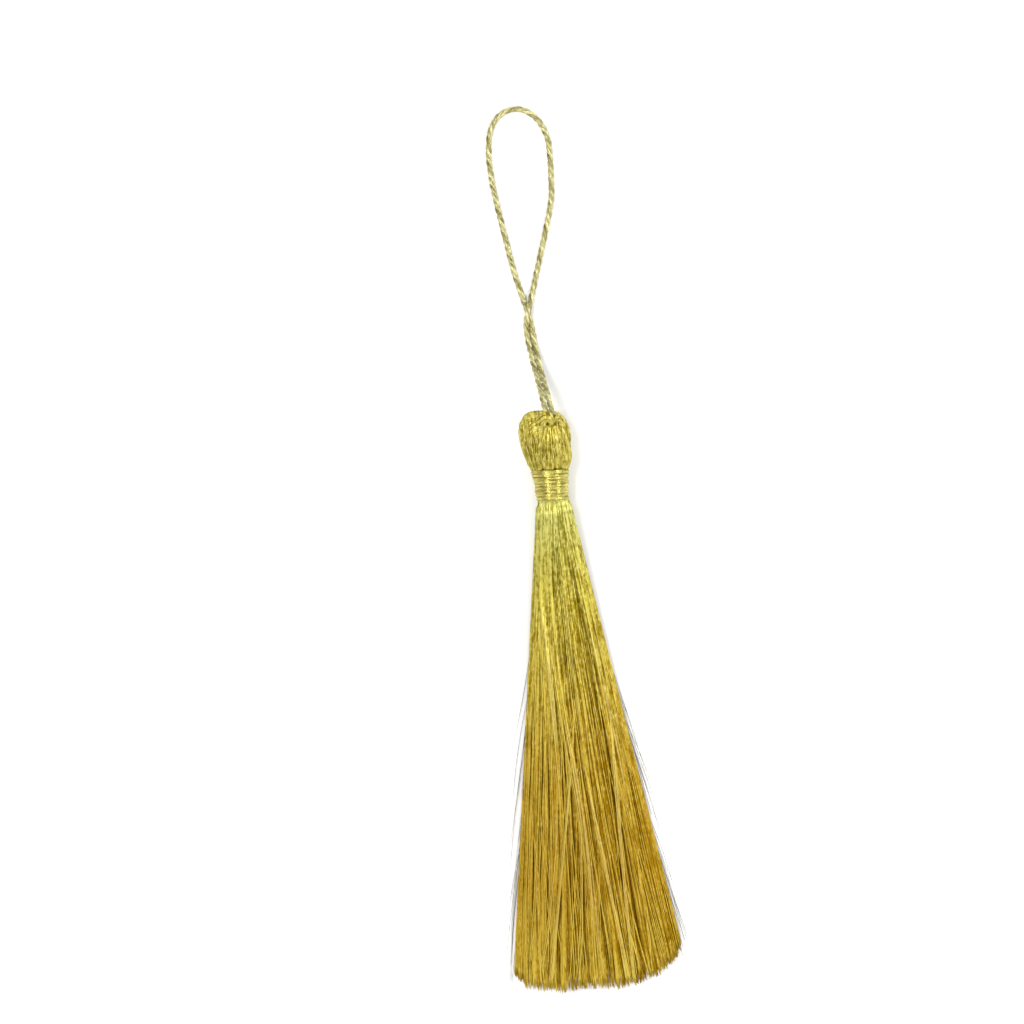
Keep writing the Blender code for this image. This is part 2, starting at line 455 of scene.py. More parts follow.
@dataclass(frozen=True)
class CoreFinish:
    """The yarn deep inside the hank, coloured dark as painted shade for the gaps between the strands."""

    name: str
    # Painted shade: both colours are dark, for the shade in the gaps between the strands.
    colour: Colour = (0.44, 0.25, 0.004)
    deep: Colour = (0.34, 0.18, 0.002)

    def material(self) -> bpy.types.Material:
        """The inner yarn's material.

        Returns:
            The material.
        """
        shader = Shader(self.name)
        x, y, z = shader.place()
        streaks = shader.noise(3.0, x * 2600.0, y * 130.0, z * 2600.0)
        colour = shader.mix(streaks.above(0.35, 0.65), self.deep, self.colour)
        sockets = {
            "Base Color": colour,
            "Roughness": 0.6 + (streaks - 0.5) * 0.3,
            "Metallic": 0.4,
            "Specular IOR Level": 0.1,
        }
        return shader.finish(sockets, streaks, 0.8, 0.0003)


@dataclass(frozen=True)
class ThreadFinish:
    """Twisted metallic thread, which turns paler and duller as its plies wind."""

    name: str
    light: Colour
    shade: Colour
    left_painted_shade: Colour
    glint: Colour
    glints: float
    mottle: float = 0.4
    metallic: float = 0.6
    specular: float = 0.2
    roughness: float = 0.38

    def material(self) -> bpy.types.Material:
        """The thread's material.

        Returns:
            The material.
        """
        shader = Shader(self.name)
        x, y, _ = shader.place()
        tone, along, _ = shader.strand()
        patches = shader.noise(2.0, tone * 83.0, along * 0.9)
        fine = shader.noise(2.0, tone * 57.0, along * 3.2)
        mottle = shader.noise(1.0, x * 750.0, y * 1500.0) - 0.5
        mixed = (tone * 0.8 + (patches - 0.5) * 0.9 + (fine - 0.5) * 0.6 + mottle * self.mottle + 0.12).held()
        # Painted shade: the darkest strands on the left side take the left_painted_shade colour.
        dark = shader.mix(x.above(0.001, -0.004), self.shade, self.left_painted_shade)
        gold = shader.mix(mixed, dark, self.light)
        spark = fine.above(0.57, 0.72) * patches.above(0.42, 0.62)
        sockets = {
            "Base Color": shader.mix(spark * self.glints, gold, self.glint),
            "Metallic": self.metallic,
            "Roughness": self.roughness + (patches - 0.5) * 0.3,
            "Specular IOR Level": self.specular,
        }
        return shader.finish(sockets, fine, 0.4, 0.0001)


@dataclass(frozen=True)
class HairFinish:
    """Loose single filaments, pale and nearly colourless."""

    name: str
    colour: Colour = (0.30, 0.31, 0.26)
    dark: Colour = (0.12, 0.13, 0.09)

    def material(self) -> bpy.types.Material:
        """The filaments' material.

        Returns:
            The material.
        """
        shader = Shader(self.name)
        tone, along, _ = shader.strand()
        blotch = shader.noise(2.0, tone * 71.0, along * 0.3)
        colour = shader.mix(blotch.above(0.3, 0.7), self.dark, self.colour)
        sockets = {"Base Color": colour, "Roughness": 0.35 + (blotch - 0.5) * 0.2, "Metallic": 0.2}
        return shader.finish(sockets, blotch, 0.2, 0.00005)


# --------------------------------------------------------------------------------------------------
# Strands
# --------------------------------------------------------------------------------------------------


def unit(vectors: np.ndarray) -> np.ndarray:
    """Vectors of length 1 along the given ones.

    Args:
        vectors: Any number of vectors, along the last axis.

    Returns:
        The unit vectors.
    """
    return vectors / np.maximum(np.linalg.norm(vectors, axis=-1, keepdims=True), 1e-12)


def held(numbers: np.ndarray) -> np.ndarray:
    """The numbers held between 0 and 1."""
    return np.clip(numbers, 0.0, 1.0)


def soften(points: np.ndarray, times: int) -> np.ndarray:
    """Lines with their bends softened.

    Args:
        points: The points of a line, or of several lines.
        times: How often each point moves towards its neighbours.

    Returns:
        The softened points.
    """
    for _ in range(times):
        between = (points[..., :-2, :] + 2.0 * points[..., 1:-1, :] + points[..., 2:, :]) / 4.0
        points[..., 1:-1, :] = between
    return points


def round_length(angle: float, turn: np.ndarray) -> np.ndarray:
    """Directions at one angle from the tassel's length.

    Args:
        angle: Radians from +Y.
        turn: Radians round the length, from +X over the top.

    Returns:
        A unit vector for each turn.
    """
    side = math.sin(angle)
    return np.stack([side * np.cos(turn), np.full(len(turn), math.cos(angle)), side * np.sin(turn)], axis=-1)


def wander(rng: np.random.Generator, count: int, shares: np.ndarray, waves: float, size: float) -> np.ndarray:
    """Slow sideways drift of strands, different for each.

    Args:
        rng: The source of random numbers.
        count: How many strands there are.
        shares: The places along a strand, from 0 to 1.
        waves: About how many waves a strand has.
        size: The drift's usual size.

    Returns:
        The drift of each strand at each place.
    """
    total = np.zeros((count, len(shares)))
    for octave in (0.5, 1.0, 1.9):
        phase = rng.uniform(0.0, math.tau, (count, 1))
        speed = waves * octave * rng.uniform(0.8, 1.25, (count, 1))
        reach = rng.normal(0.0, size, (count, 1)) / octave**0.7
        total += reach * np.sin(phase + math.tau * speed * shares)
    return total


def mesh_object(name: str, points: np.ndarray, faces: list[np.ndarray]) -> bpy.types.Object:
    """A smooth-shaded mesh object made from arrays.

    Args:
        name: The piece's name.
        points: Its points in millimetres.
        faces: Arrays of faces, each of faces with the same number of corners.

    Returns:
        The object, linked to the scene.
    """
    mesh = bpy.data.meshes.new(name)
    mesh.vertices.add(len(points))
    mesh.vertices.foreach_set("co", (points * MM).astype(np.float32).ravel())
    corners = np.concatenate([group.ravel() for group in faces])
    sizes = np.concatenate([np.full(len(group), group.shape[1]) for group in faces])
    mesh.loops.add(len(corners))
    mesh.loops.foreach_set("vertex_index", corners.astype(np.int32))
    mesh.polygons.add(len(sizes))
    starts = np.concatenate([[0], np.cumsum(sizes)[:-1]])
    mesh.polygons.foreach_set("loop_start", starts.astype(np.int32))
    mesh.update(calc_edges=True)
    mesh.shade_smooth()
    piece = bpy.data.objects.new(name, mesh)
    bpy.context.scene.collection.objects.link(piece)
    return piece


@dataclass
class Strands:
    """Fine closed tubes, all with the same number of points.

    centres holds each strand's points in millimetres, radii its thickness there, tones its own shade
    from 0 to 1 and out how far outside the form it lies, in millimetres.
    """

    centres: np.ndarray
    radii: np.ndarray
    tones: np.ndarray
    out: np.ndarray | None = None
    sides: int = 4
    columns_deep: int = 3

    def build(self, name: str) -> bpy.types.Object:
        """Makes the strands as one mesh.

        Args:
            name: The piece's name.

        Returns:
            The object, with its strand data and a map with a column for each strand.
        """
        count, points, _ = self.centres.shape
        tangents = unit(np.gradient(self.centres, axis=1))
        across = self._across(tangents)
        lift = np.cross(across, tangents)
        turns = math.tau * (np.arange(self.sides) + 0.5) / self.sides
        spokes = (
            np.cos(turns)[:, None] * across[:, :, None, :] + np.sin(turns)[:, None] * lift[:, :, None, :]
        )
        rings = self.centres[:, :, None, :] + self.radii[:, :, None, None] * spokes
        index = np.arange(count * points * self.sides).reshape(count, points, self.sides)
        following = np.roll(index, -1, axis=2)
        walls = np.stack([index[:, :-1], index[:, 1:], following[:, 1:], following[:, :-1]], axis=-1)
        faces = [walls.reshape(-1, 4), index[:, 0], index[:, -1, ::-1]]
        piece = mesh_object(name, rings.reshape(-1, 3), faces)
        self._write_data(piece.data, count, points)
        return piece

    def _across(self, tangents: np.ndarray) -> np.ndarray:
        """A sideways direction at each point, turned as little as possible along a strand.

        Args:
            tangents: The strands' unit directions.

        Returns:
            The directions, one for each point.
        """
        start = np.cross(tangents[:, 0], (0.0, 0.0, 1.0))
        flat = np.linalg.norm(start, axis=-1) < 0.1
        start[flat] = np.cross(tangents[flat, 0], (0.0, 1.0, 0.0))
        across = np.empty_like(tangents)
        across[:, 0] = unit(start)
        for point in range(1, tangents.shape[1]):
            here = tangents[:, point]
            last = across[:, point - 1]
            across[:, point] = unit(last - here * np.sum(last * here, axis=-1, keepdims=True))
        return across

    def _write_data(self, mesh: bpy.types.Mesh, count: int, points: int) -> None:
        """Writes the strand data and the map.

        Args:
            mesh: The mesh to write to.
            count: How many strands it has.
            points: How many points each has.
        """
        steps = np.linalg.norm(np.diff(self.centres, axis=1), axis=-1)
        along = np.concatenate([np.zeros((count, 1)), np.cumsum(steps, axis=1)], axis=1)
        out = np.zeros((count, points)) if self.out is None else self.out
        data = np.stack([np.broadcast_to(self.tones[:, None], along.shape), along, out], axis=-1)
        data = np.repeat(data[:, :, None, :], self.sides, axis=2)
        layer = mesh.attributes.new(STRAND_DATA, "FLOAT_VECTOR", "POINT")
        layer.data.foreach_set("vector", data.astype(np.float32).ravel())
        columns = math.ceil(count / self.columns_deep)
        strand = np.arange(count)
        left = (strand % columns)[:, None, None, None]
        deck = (strand // columns)[:, None, None, None]
        fold = 1.0 - np.abs(2.0 * np.arange(self.sides + 1) / self.sides - 1.0)
        sideways = np.stack([fold[:-1], fold[:-1], fold[1:], fold[1:]], axis=-1)[None, None]
        run = np.arange(points) / (points - 1)
        length = np.stack([run[:-1], run[1:], run[1:], run[:-1]], axis=-1)[None, :, None, :]
        shape = (count, points - 1, self.sides, 4)
        wide = 1.0 - 2.0 * SIDE_MARGIN
        long = 1.0 - 2.0 * END_MARGIN
        u = np.broadcast_to((left + SIDE_MARGIN + wide * sideways) / columns, shape)
        v = np.broadcast_to((deck + END_MARGIN + long * length) / self.columns_deep, shape)
        walls = np.stack([u, v], axis=-1).reshape(-1, 2)
        ends = []
        for place in (END_MARGIN, 1.0 - END_MARGIN):
            corners = (count, 1, self.sides)
            u = np.broadcast_to((left[:, :, 0] + SIDE_MARGIN + wide * fold[:-1]) / columns, corners)
            v = np.broadcast_to((deck[:, :, 0] + place) / self.columns_deep, corners)
            ends.append(np.stack([u, v], axis=-1).reshape(-1, 2))
        layer = mesh.uv_layers.new(name="OFBake")
        layer.uv.foreach_set("vector", np.concatenate([walls, *ends]).astype(np.float32).ravel())


def smooth_line(knots: np.ndarray, shares: np.ndarray) -> np.ndarray:
    """A soft line through knots.

    Args:
        knots: The points that it passes near.
        shares: Where it is read, from 0 to 1.

    Returns:
        A point for each share.
    """
    at = np.linspace(0.0, 1.0, len(knots))
    return soften(np.stack([np.interp(shares, at, column) for column in knots.T], axis=-1), 6)


def join_strands(parts: list[Strands]) -> Strands:
    """Several batches of strands as one.

    Args:
        parts: Batches with the same number of points and sides.

    Returns:
        The joined batch.
    """
    out = [np.zeros(part.radii.shape) if part.out is None else part.out for part in parts]
    return Strands(
        np.concatenate([part.centres for part in parts]),
        np.concatenate([part.radii for part in parts]),
        np.concatenate([part.tones for part in parts]),
        np.concatenate(out),
        parts[0].sides,
        parts[0].columns_deep,
    )


def thickness(
    count: int, shares: np.ndarray, radius: float, taper: tuple[float, float], rng: np.random.Generator
) -> np.ndarray:
    """The radius along each strand, thinner at its ends.

    Args:
        count: How many strands there are.
        shares: The places along a strand, from 0 to 1.
        radius: The usual radius.
        taper: The share of the length over which the start and the end thin out.
        rng: The source of random numbers.

    Returns:
        The radius of each strand at each place.
    """
    start = np.clip(shares / max(taper[0], 1e-6), 0.25, 1.0)
    end = np.clip((1.0 - shares) / max(taper[1], 1e-6), 0.45, 1.0)
    own = rng.uniform(0.82, 1.18, (count, 1))
    return radius * own * np.minimum(start, end)[None, :]


# --------------------------------------------------------------------------------------------------
# The form that the yarn fills
# --------------------------------------------------------------------------------------------------


@dataclass
class HankForm:
    """The hank's outer shape: a domed head, the waist under the binding and the spreading skirt.

    head_sections rows: millimetres below the head's tip, left edge, right edge, underside, height of
    the widest line, top. skirt_sections rows: share of the skirt's length, underside, height of the
    widest line, top. hem rows: degrees round the skirt, where 0 is its right edge and 180 its left
    one, and how far short of the longest yarn it ends. dome_length is the way from the head's tip to
    its widest part, and shoulder_length the scale of the way on to the neck.
    """

    head_sections: tuple[tuple[float, ...], ...] = (
        (0.18, -2.90, 0.70, 3.4, 5.3, 7.0),
        (0.60, -4.20, 2.00, 1.9, 5.3, 8.2),
        (1.40, -5.05, 3.35, 0.9, 5.3, 9.1),
        (2.40, -5.65, 4.20, 0.3, 5.3, 9.8),
        (3.60, -6.10, 4.80, -0.1, 5.3, 10.3),
        (5.10, -6.30, 5.15, -0.3, 5.3, 10.6),
        (6.80, -6.15, 5.10, -0.3, 5.3, 10.6),
        (8.70, -5.80, 4.95, -0.1, 5.3, 10.3),
        (10.50, -5.20, 4.95, 0.4, 5.2, 9.9),
        (11.90, -5.00, 4.90, 0.8, 5.2, 9.6),
        (12.70, -4.90, 4.80, 1.0, 5.1, 9.45),
        (13.40, -4.35, 4.30, 1.5, 5.1, 9.35),
        (15.50, -3.35, 3.20, 1.7, 5.0, 8.2),
        (17.90, -3.05, 2.95, 1.8, 4.9, 7.9),
        (20.20, -2.80, 2.75, 1.8, 4.8, 7.6),
    )
    skirt_sections: tuple[tuple[float, ...], ...] = (
        (0.000, 1.2, 4.7, 8.65),
        (0.012, 0.9, 4.5, 8.80),
        (0.060, 0.2, 3.8, 8.1),
        (0.160, 0.0, 2.5, 6.9),
        (0.350, 0.0, 1.6, 5.8),
        (0.650, 0.0, 1.1, 4.9),
        (0.900, 0.0, 0.9, 4.1),
        (1.000, 0.0, 0.8, 3.5),
    )
    hem: tuple[tuple[float, float], ...] = (
        (0.0, 8.0),
        (9.0, 7.3),
        (27.0, 4.6),
        (45.0, 1.9),
        (62.0, 0.5),
        (78.0, 0.0),
        (95.0, 0.5),
        (111.0, 0.1),
        (128.0, 0.8),
        (146.0, 1.7),
        (168.0, 4.3),
        (180.0, 5.0),
    )
    neck_half_width: float = 3.75
    dome_length: float = 5.15
    shoulder_length: float = 10.5
    tip_y: float = field(init=False)
    hem_y: float = field(init=False)
    skirt_y: float = field(init=False)
    hem_half_width: float = field(init=False)

    def __post_init__(self) -> None:
        """Reads where the hank ends and how wide it is from the frame."""
        low, high = box_mm(Node.HANK)
        neck_low, _ = box_mm(Node.BINDING)
        self.tip_y = float(high[1])
        self.hem_y = float(low[1])
        self.skirt_y = float(neck_low[1]) - 0.5
        self.hem_half_width = float(high[0] - low[0]) / 2.0
        self._head = np.array(self.head_sections).T
        self._skirt = np.array(self.skirt_sections).T
        self._hem = np.array(self.hem).T

    def half_width(self, share: np.ndarray) -> np.ndarray:
        """Half the skirt's width at a share of its length."""
        return self.neck_half_width + (self.hem_half_width - self.neck_half_width) * share

    def yarn_end(self, lateral: np.ndarray) -> np.ndarray:
        """Where yarn ends, in y.

        Args:
            lateral: Its place across the hem, from -1 at the left edge to 1 at the right one.

        Returns:
            The y of its end.
        """
        degrees = np.degrees(np.arccos(np.clip(lateral, -1.0, 1.0)))
        return self.hem_y + np.interp(degrees, self._hem[0], self._hem[1])

    def skirt(
        self, lateral: np.ndarray, level: np.ndarray, share: np.ndarray, end: np.ndarray, out: np.ndarray
    ) -> np.ndarray:
        """Points of the skirt.

        Args:
            lateral: Places across, from -1 at the left edge to 1 at the right one.
            level: 1 on top, 0 on the widest line and -1 underneath.
            share: Shares of the way from the neck to the hem.
            end: The y at which the yarn ends.
            out: Millimetres above the form.

        Returns:
            The points.
        """
        under, wide, top = (np.interp(share, self._skirt[0], column) for column in self._skirt[1:])
        arch = np.sqrt(held(1.0 - lateral**2))
        rise = np.where(level > 0.0, level * (top - wide), level * (wide - under)) * arch
        x = lateral * self.half_width(share)
        y = self.skirt_y + share * (end - self.skirt_y)
        return np.stack([x, y, wide + rise + out], axis=-1)

    def section(self, drop: np.ndarray, turn: np.ndarray, inset: np.ndarray) -> np.ndarray:
        """Points of the head and waist.

        Args:
            drop: Millimetres below the head's tip.
            turn: Radians round the section, from its right edge over its top.
            inset: Millimetres under the surface.

        Returns:
            The points.
        """
        left, right, under, wide, top = (np.interp(drop, self._head[0], column) for column in self._head[1:])
        # Above the first section the dome closes towards its tip.
        close = np.sqrt(held(drop / self._head[0, 0]))
        middle = (left + right) / 2.0
        half = np.maximum((right - left) / 2.0 * close - inset, 0.02)
        up = np.maximum((top - wide) * close - inset, 0.02)
        down = np.maximum((wide - under) * close - inset, 0.02)
        x = middle + half * np.cos(turn)
        z = wide + np.where(np.sin(turn) > 0.0, up, down) * np.sin(turn)
        y = np.broadcast_to(self.tip_y - drop, x.shape)
        return np.stack([x, y, z], axis=-1)

    def head(self, direction: np.ndarray, inset: np.ndarray) -> np.ndarray:
        """Points of the head along directions from its middle.

        Args:
            direction: Unit vectors from the middle of a ball that stands for the head.
            inset: Millimetres under the surface.

        Returns:
            The points.
        """
        cosine = np.clip(direction[..., 1], -1.0, 1.0)
        dome = self.dome_length
        drop = np.where(cosine > 0.0, dome * (1.0 - cosine), dome - self.shoulder_length * cosine)
        turn = np.arctan2(direction[..., 2], direction[..., 0])
        drop = drop + inset * held(cosine)
        return self.section(drop, turn, inset * np.sqrt(held(1.0 - cosine**2)))


# --------------------------------------------------------------------------------------------------
# The pieces
# --------------------------------------------------------------------------------------------------


def place_piece(piece: bpy.types.Object, material: bpy.types.Material, slot: Slot, *stands_for: Node) -> None:
    """Dresses a piece and fixes it to the tassel.

    Args:
        piece: The piece.
        material: Its finish.
        slot: Not used.
        stands_for: The solids that it replaces.
    """
    piece.data.materials.append(material)
    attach(piece, BODY)
    if stands_for:
        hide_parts(*(node.value for node in stands_for))
    log.info("%s: %d faces", piece.name, len(piece.data.polygons))


@dataclass
class HangingCord:
    """The twisted cord from the pit in the head, round the loop and back.

    route holds x, y and z along the cord's middle line, and ply_painted_light_tones the tone of each ply:
    painted light and shade, whose light and dark stripes stand in for light falling on the twist.
    """

    diameter: float = 1.2
    twist_pitch: float = 5.4
    plies: int = 3
    ply_radius: float = 0.35
    ply_offset: float = 0.35
    filaments: int = 6
    filament_radius: float = 0.135
    filament_twist: float = 0.35
    filament_sway: float = 0.2
    heart_share: float = 0.7
    # Painted shade: the heart's dark tone shows only in the gaps between a ply's filaments.
    heart_painted_shade_tone: float = 0.05
    step: float = 0.28
    # Painted light and shade: the plies' tones make light and dark stripes along the cord.
    ply_painted_light_tones: tuple[float, ...] = (0.86, 0.26, 0.60)
    route: tuple[tuple[float, float, float], ...] = (
        (0.40, 61.75, 8.72), (0.38, 62.70, 9.50), (0.28, 63.90, 10.10), (0.09, 65.20, 10.28),
        (-0.21, 67.20, 9.66), (-0.53, 69.40, 8.02), (-0.86, 71.80, 5.92), (-1.22, 74.20, 3.90),
        (-1.54, 76.80, 2.15), (-1.88, 79.60, 1.02), (-2.12, 82.20, 0.72), (-2.08, 84.60, 1.20),
        (-1.45, 87.30, 2.13), (-0.65, 89.90, 1.25), (0.15, 92.30, 0.65), (2.10, 98.50, 0.65),
        (3.35, 102.30, 0.65), (5.75, 110.30, 0.65), (6.55, 114.70, 0.65), (6.90, 124.30, 0.65),
        (6.00, 128.50, 0.65), (3.80, 131.80, 0.65), (0.50, 133.40, 0.65), (-3.00, 132.60, 0.65),
        (-5.60, 129.70, 0.65), (-6.70, 125.10, 0.65), (-6.80, 119.90, 0.65), (-6.30, 114.10, 0.65),
        (-4.60, 102.50, 0.65), (-3.60, 96.30, 0.65), (-2.40, 91.10, 0.65), (-1.45, 87.30, 0.65),
        (-0.86, 83.30, 0.65), (-0.58, 79.60, 1.02), (0.06, 74.20, 3.90), (0.77, 69.40, 8.02),
        (1.42, 65.20, 10.28), (1.70, 62.70, 9.50), (1.70, 61.75, 8.72),
    )

    def line(self) -> np.ndarray:
        """The cord's middle line: a smooth curve through the route, in evenly spaced points.

        Returns:
            The points in millimetres.
        """
        knots = np.array(self.route)
        padded = np.vstack([2 * knots[0] - knots[1], knots, 2 * knots[-1] - knots[-2]])
        share = np.linspace(0.0, 1.0, 24, endpoint=False)[:, None]
        spans = []
        for before, start, end, after in zip(padded, padded[1:], padded[2:], padded[3:]):
            straight = 2 * start + (end - before) * share
            bend = (2 * before - 5 * start + 4 * end - after) * share**2
            swing = (3 * start - before - 3 * end + after) * share**3
            spans.append((straight + bend + swing) / 2.0)
        dense = np.vstack([*spans, knots[-1:]])
        run = np.concatenate([[0.0], np.cumsum(np.linalg.norm(np.diff(dense, axis=0), axis=1))])
        even = np.linspace(0.0, run[-1], round(run[-1] / self.step) + 1)
        return np.stack([np.interp(even, run, column) for column in dense.T], axis=-1)

    def build(self) -> None:
        line = self.line()
        run = np.arange(len(line)) * self.step
        tangents = unit(np.gradient(line, axis=0))
        across = unit(np.cross(tangents, (0.0, 0.0, 1.0)))
        lift = np.cross(across, tangents)
        rng = np.random.default_rng(11)
        turn = math.tau * run / self.twist_pitch
        centres, radii, tones = [], [], []
        for ply in range(self.plies):
            phase = turn + math.tau * ply / self.plies
            ply_out = np.cos(phase)[:, None] * across + np.sin(phase)[:, None] * lift
            ply_side = np.sin(phase)[:, None] * across - np.cos(phase)[:, None] * lift
            for filament in range(self.filaments + 1):
                own = math.tau * filament / self.filaments + self.filament_twist * turn
                own = own + self.filament_sway * np.sin(run * 0.7 + filament)
                heart = filament == self.filaments
                reach = 0.0 if heart else self.ply_radius - self.filament_radius
                offset = np.cos(own)[:, None] * ply_out + np.sin(own)[:, None] * ply_side
                centres.append(line + self.ply_offset * ply_out + reach * offset)
                radius = self.ply_radius * self.heart_share if heart else self.filament_radius
                radii.append(np.full(len(line), radius))
                tones.append(self.heart_painted_shade_tone if heart else self.ply_painted_light_tones[ply] + rng.uniform(-0.2, 0.2))
        centres, radii = np.array(centres), np.array(radii)
        centres[..., 2] = np.maximum(centres[..., 2], radii)
        piece = Strands(centres, radii, np.array(tones), sides=5, columns_deep=1).build("hanging_cord_plies")
        finish = ThreadFinish(
            "twisted_cord_gold",
            light=(0.77, 0.73, 0.385),
            shade=(0.18, 0.15, 0.026),
            left_painted_shade=(0.18, 0.15, 0.026),
            glint=(0.92, 0.89, 0.60),
            glints=0.6,
        )
        place_piece(piece, finish.material(), Slot.CORD, Node.CORD)


@dataclass
class NeckBinding:
    """Flat metallic thread wound nine times round the neck.

    sections rows: y, left edge, right edge, underside, top. first_turn is how far below the upper edge
    the winding starts, and margin how much shorter than the binding it is.
    """

    turns: int = 9
    slope: float = -0.10
    filaments: int = 5
    filament_radius: float = 0.125
    filament_gap: float = 0.155
    camber: float = 0.035
    first_turn: float = 0.80
    margin: float = 0.45
    unevenness: float = 0.08
    step: float = 0.25
    sections: tuple[tuple[float, ...], ...] = (
        (44.00, -3.75, 3.62, 1.10, 8.55),
        (44.80, -3.82, 3.70, 1.05, 8.60),
        (47.70, -3.95, 3.80, 0.95, 8.70),
        (49.90, -4.15, 4.05, 0.75, 9.05),
        (50.70, -4.40, 4.30, 0.60, 9.30),
        (52.10, -4.50, 4.40, 0.55, 9.45),
    )

    def build(self) -> None:
        """Winds the binding: each turn is a few filaments side by side, a little domed."""
        low, high = box_mm(Node.BINDING)
        table = np.array(self.sections).T
        around = math.pi * float(table[2].mean() - table[1].mean() + table[4].mean() - table[3].mean()) / 2.0
        count = round(self.turns * around / self.step)
        turn = math.tau * self.turns * np.arange(count + 1) / count
        y = high[1] - self.first_turn - turn / turn[-1] * (high[1] - low[1] - self.margin)
        left, right, under, top = (np.interp(y, table[0], column) for column in table[1:])
        proud = self.unevenness * np.sin(turn / math.tau * 5.1)
        rng = np.random.default_rng(5)
        centres, tones = [], []
        for filament in range(self.filaments):
            off = filament - (self.filaments - 1) / 2.0
            inset = self.filament_radius + self.camber * off**2 - proud
            inset = inset + 0.03 * np.sin(turn * 1.9 + 2.1 * filament)
            x = (left + right) / 2.0 + ((right - left) / 2.0 - inset) * np.cos(turn)
            z = (top + under) / 2.0 + ((top - under) / 2.0 - inset) * np.sin(turn)
            sway = 0.06 * np.sin(turn * 2.3 + 1.0) + 0.04 * np.sin(turn * 3.7 + 1.3 * filament)
            centres.append(np.stack([x, y + self.slope * x + off * self.filament_gap + sway, z], axis=-1))
            # Painted shade: the outer filaments of each turn are a little darker, in the grooves between
            # turns.
            tones.append(rng.uniform(0.45, 0.95) - 0.10 * abs(off))
        centres = np.array(centres)
        radii = np.full(centres.shape[:2], self.filament_radius)
        finish = ThreadFinish(
            "binding_thread_gold",
            light=(0.66, 0.60, 0.165),
            shade=(0.30, 0.255, 0.035),
            left_painted_shade=(0.35, 0.245, 0.030),
            glint=(0.80, 0.77, 0.42),
            glints=0.8,
            mottle=1.9,
            metallic=0.8,
            roughness=0.30,
        )
        piece = Strands(centres, radii, np.array(tones), sides=5, columns_deep=5).build("neck_winding")
        place_piece(piece, finish.material(), Slot.BINDING, Node.BINDING)


@dataclass
class HankCore:
    """The yarn inside the hank, under the strands that show, dark as painted shade where it shows between
    them.

    neck_draw is the core's share of the skirt's width at the neck, and neck_run the share of the
    skirt's length over which it widens.
    """

    form: HankForm
    around: int = 56
    head_inset: float = 0.75
    skirt_inset: float = 0.60
    pit: tuple[float, float, float] = (1.05, 62.5, 9.4)
    pit_reach: float = 2.3
    pit_depth: float = 0.8
    neck_draw: float = 0.84
    neck_run: float = 0.06
    hem_share: float = 0.965
    hem_width: float = 0.97
    lowest: float = 0.25

    def build(self) -> None:
        """Lofts the inner yarn from the tip to the hem."""
        form = self.form
        turn = math.tau * np.arange(self.around) / self.around
        rings = [
            form.section(np.full(self.around, drop), turn, np.full(self.around, self.head_inset))
            for drop in np.concatenate([[0.9, 1.2, 1.6], np.arange(2.2, 20.0, 0.7)])
        ]
        pit = np.array(self.pit)
        for ring in rings:
            away = np.linalg.norm(ring - pit, axis=-1)
            fall = held(1.0 - away / self.pit_reach)[:, None]
            ring -= fall * self.pit_depth * unit(pit - np.array([-0.6, 58.0, 5.3]))
        lateral = np.cos(turn) * self.hem_width
        level = np.sin(turn)
        ends = form.yarn_end(np.cos(turn))
        ripple = 0.18 * np.sin(turn * 23.0) + 0.12 * np.sin(turn * 37.0 + 1.0)
        for share in np.linspace(0.0, self.hem_share, 40):
            out = np.where(level > 0.0, -self.skirt_inset * min(1.0, 0.5 + share), 0.25) + ripple * share
            drawn_in = lateral * (self.neck_draw + (1.0 - self.neck_draw) * min(1.0, share / self.neck_run))
            points = form.skirt(drawn_in, level, np.full(self.around, share), ends, out)
            points[:, 2] = np.maximum(points[:, 2], self.lowest)
            rings.append(points)
        points = np.concatenate(rings)
        index = np.arange(len(points)).reshape(len(rings), self.around)
        following = np.roll(index, -1, axis=1)
        walls = np.stack([index[:-1], index[1:], following[1:], following[:-1]], axis=-1).reshape(-1, 4)
        faces = [walls, index[0][None, :], index[-1][None, ::-1]]
        piece = mesh_object("hank_core", points, faces)
        finish = CoreFinish("shaded_inner_yarn")
        place_piece(piece, finish.material(), Slot.FLOSS, Node.HANK)


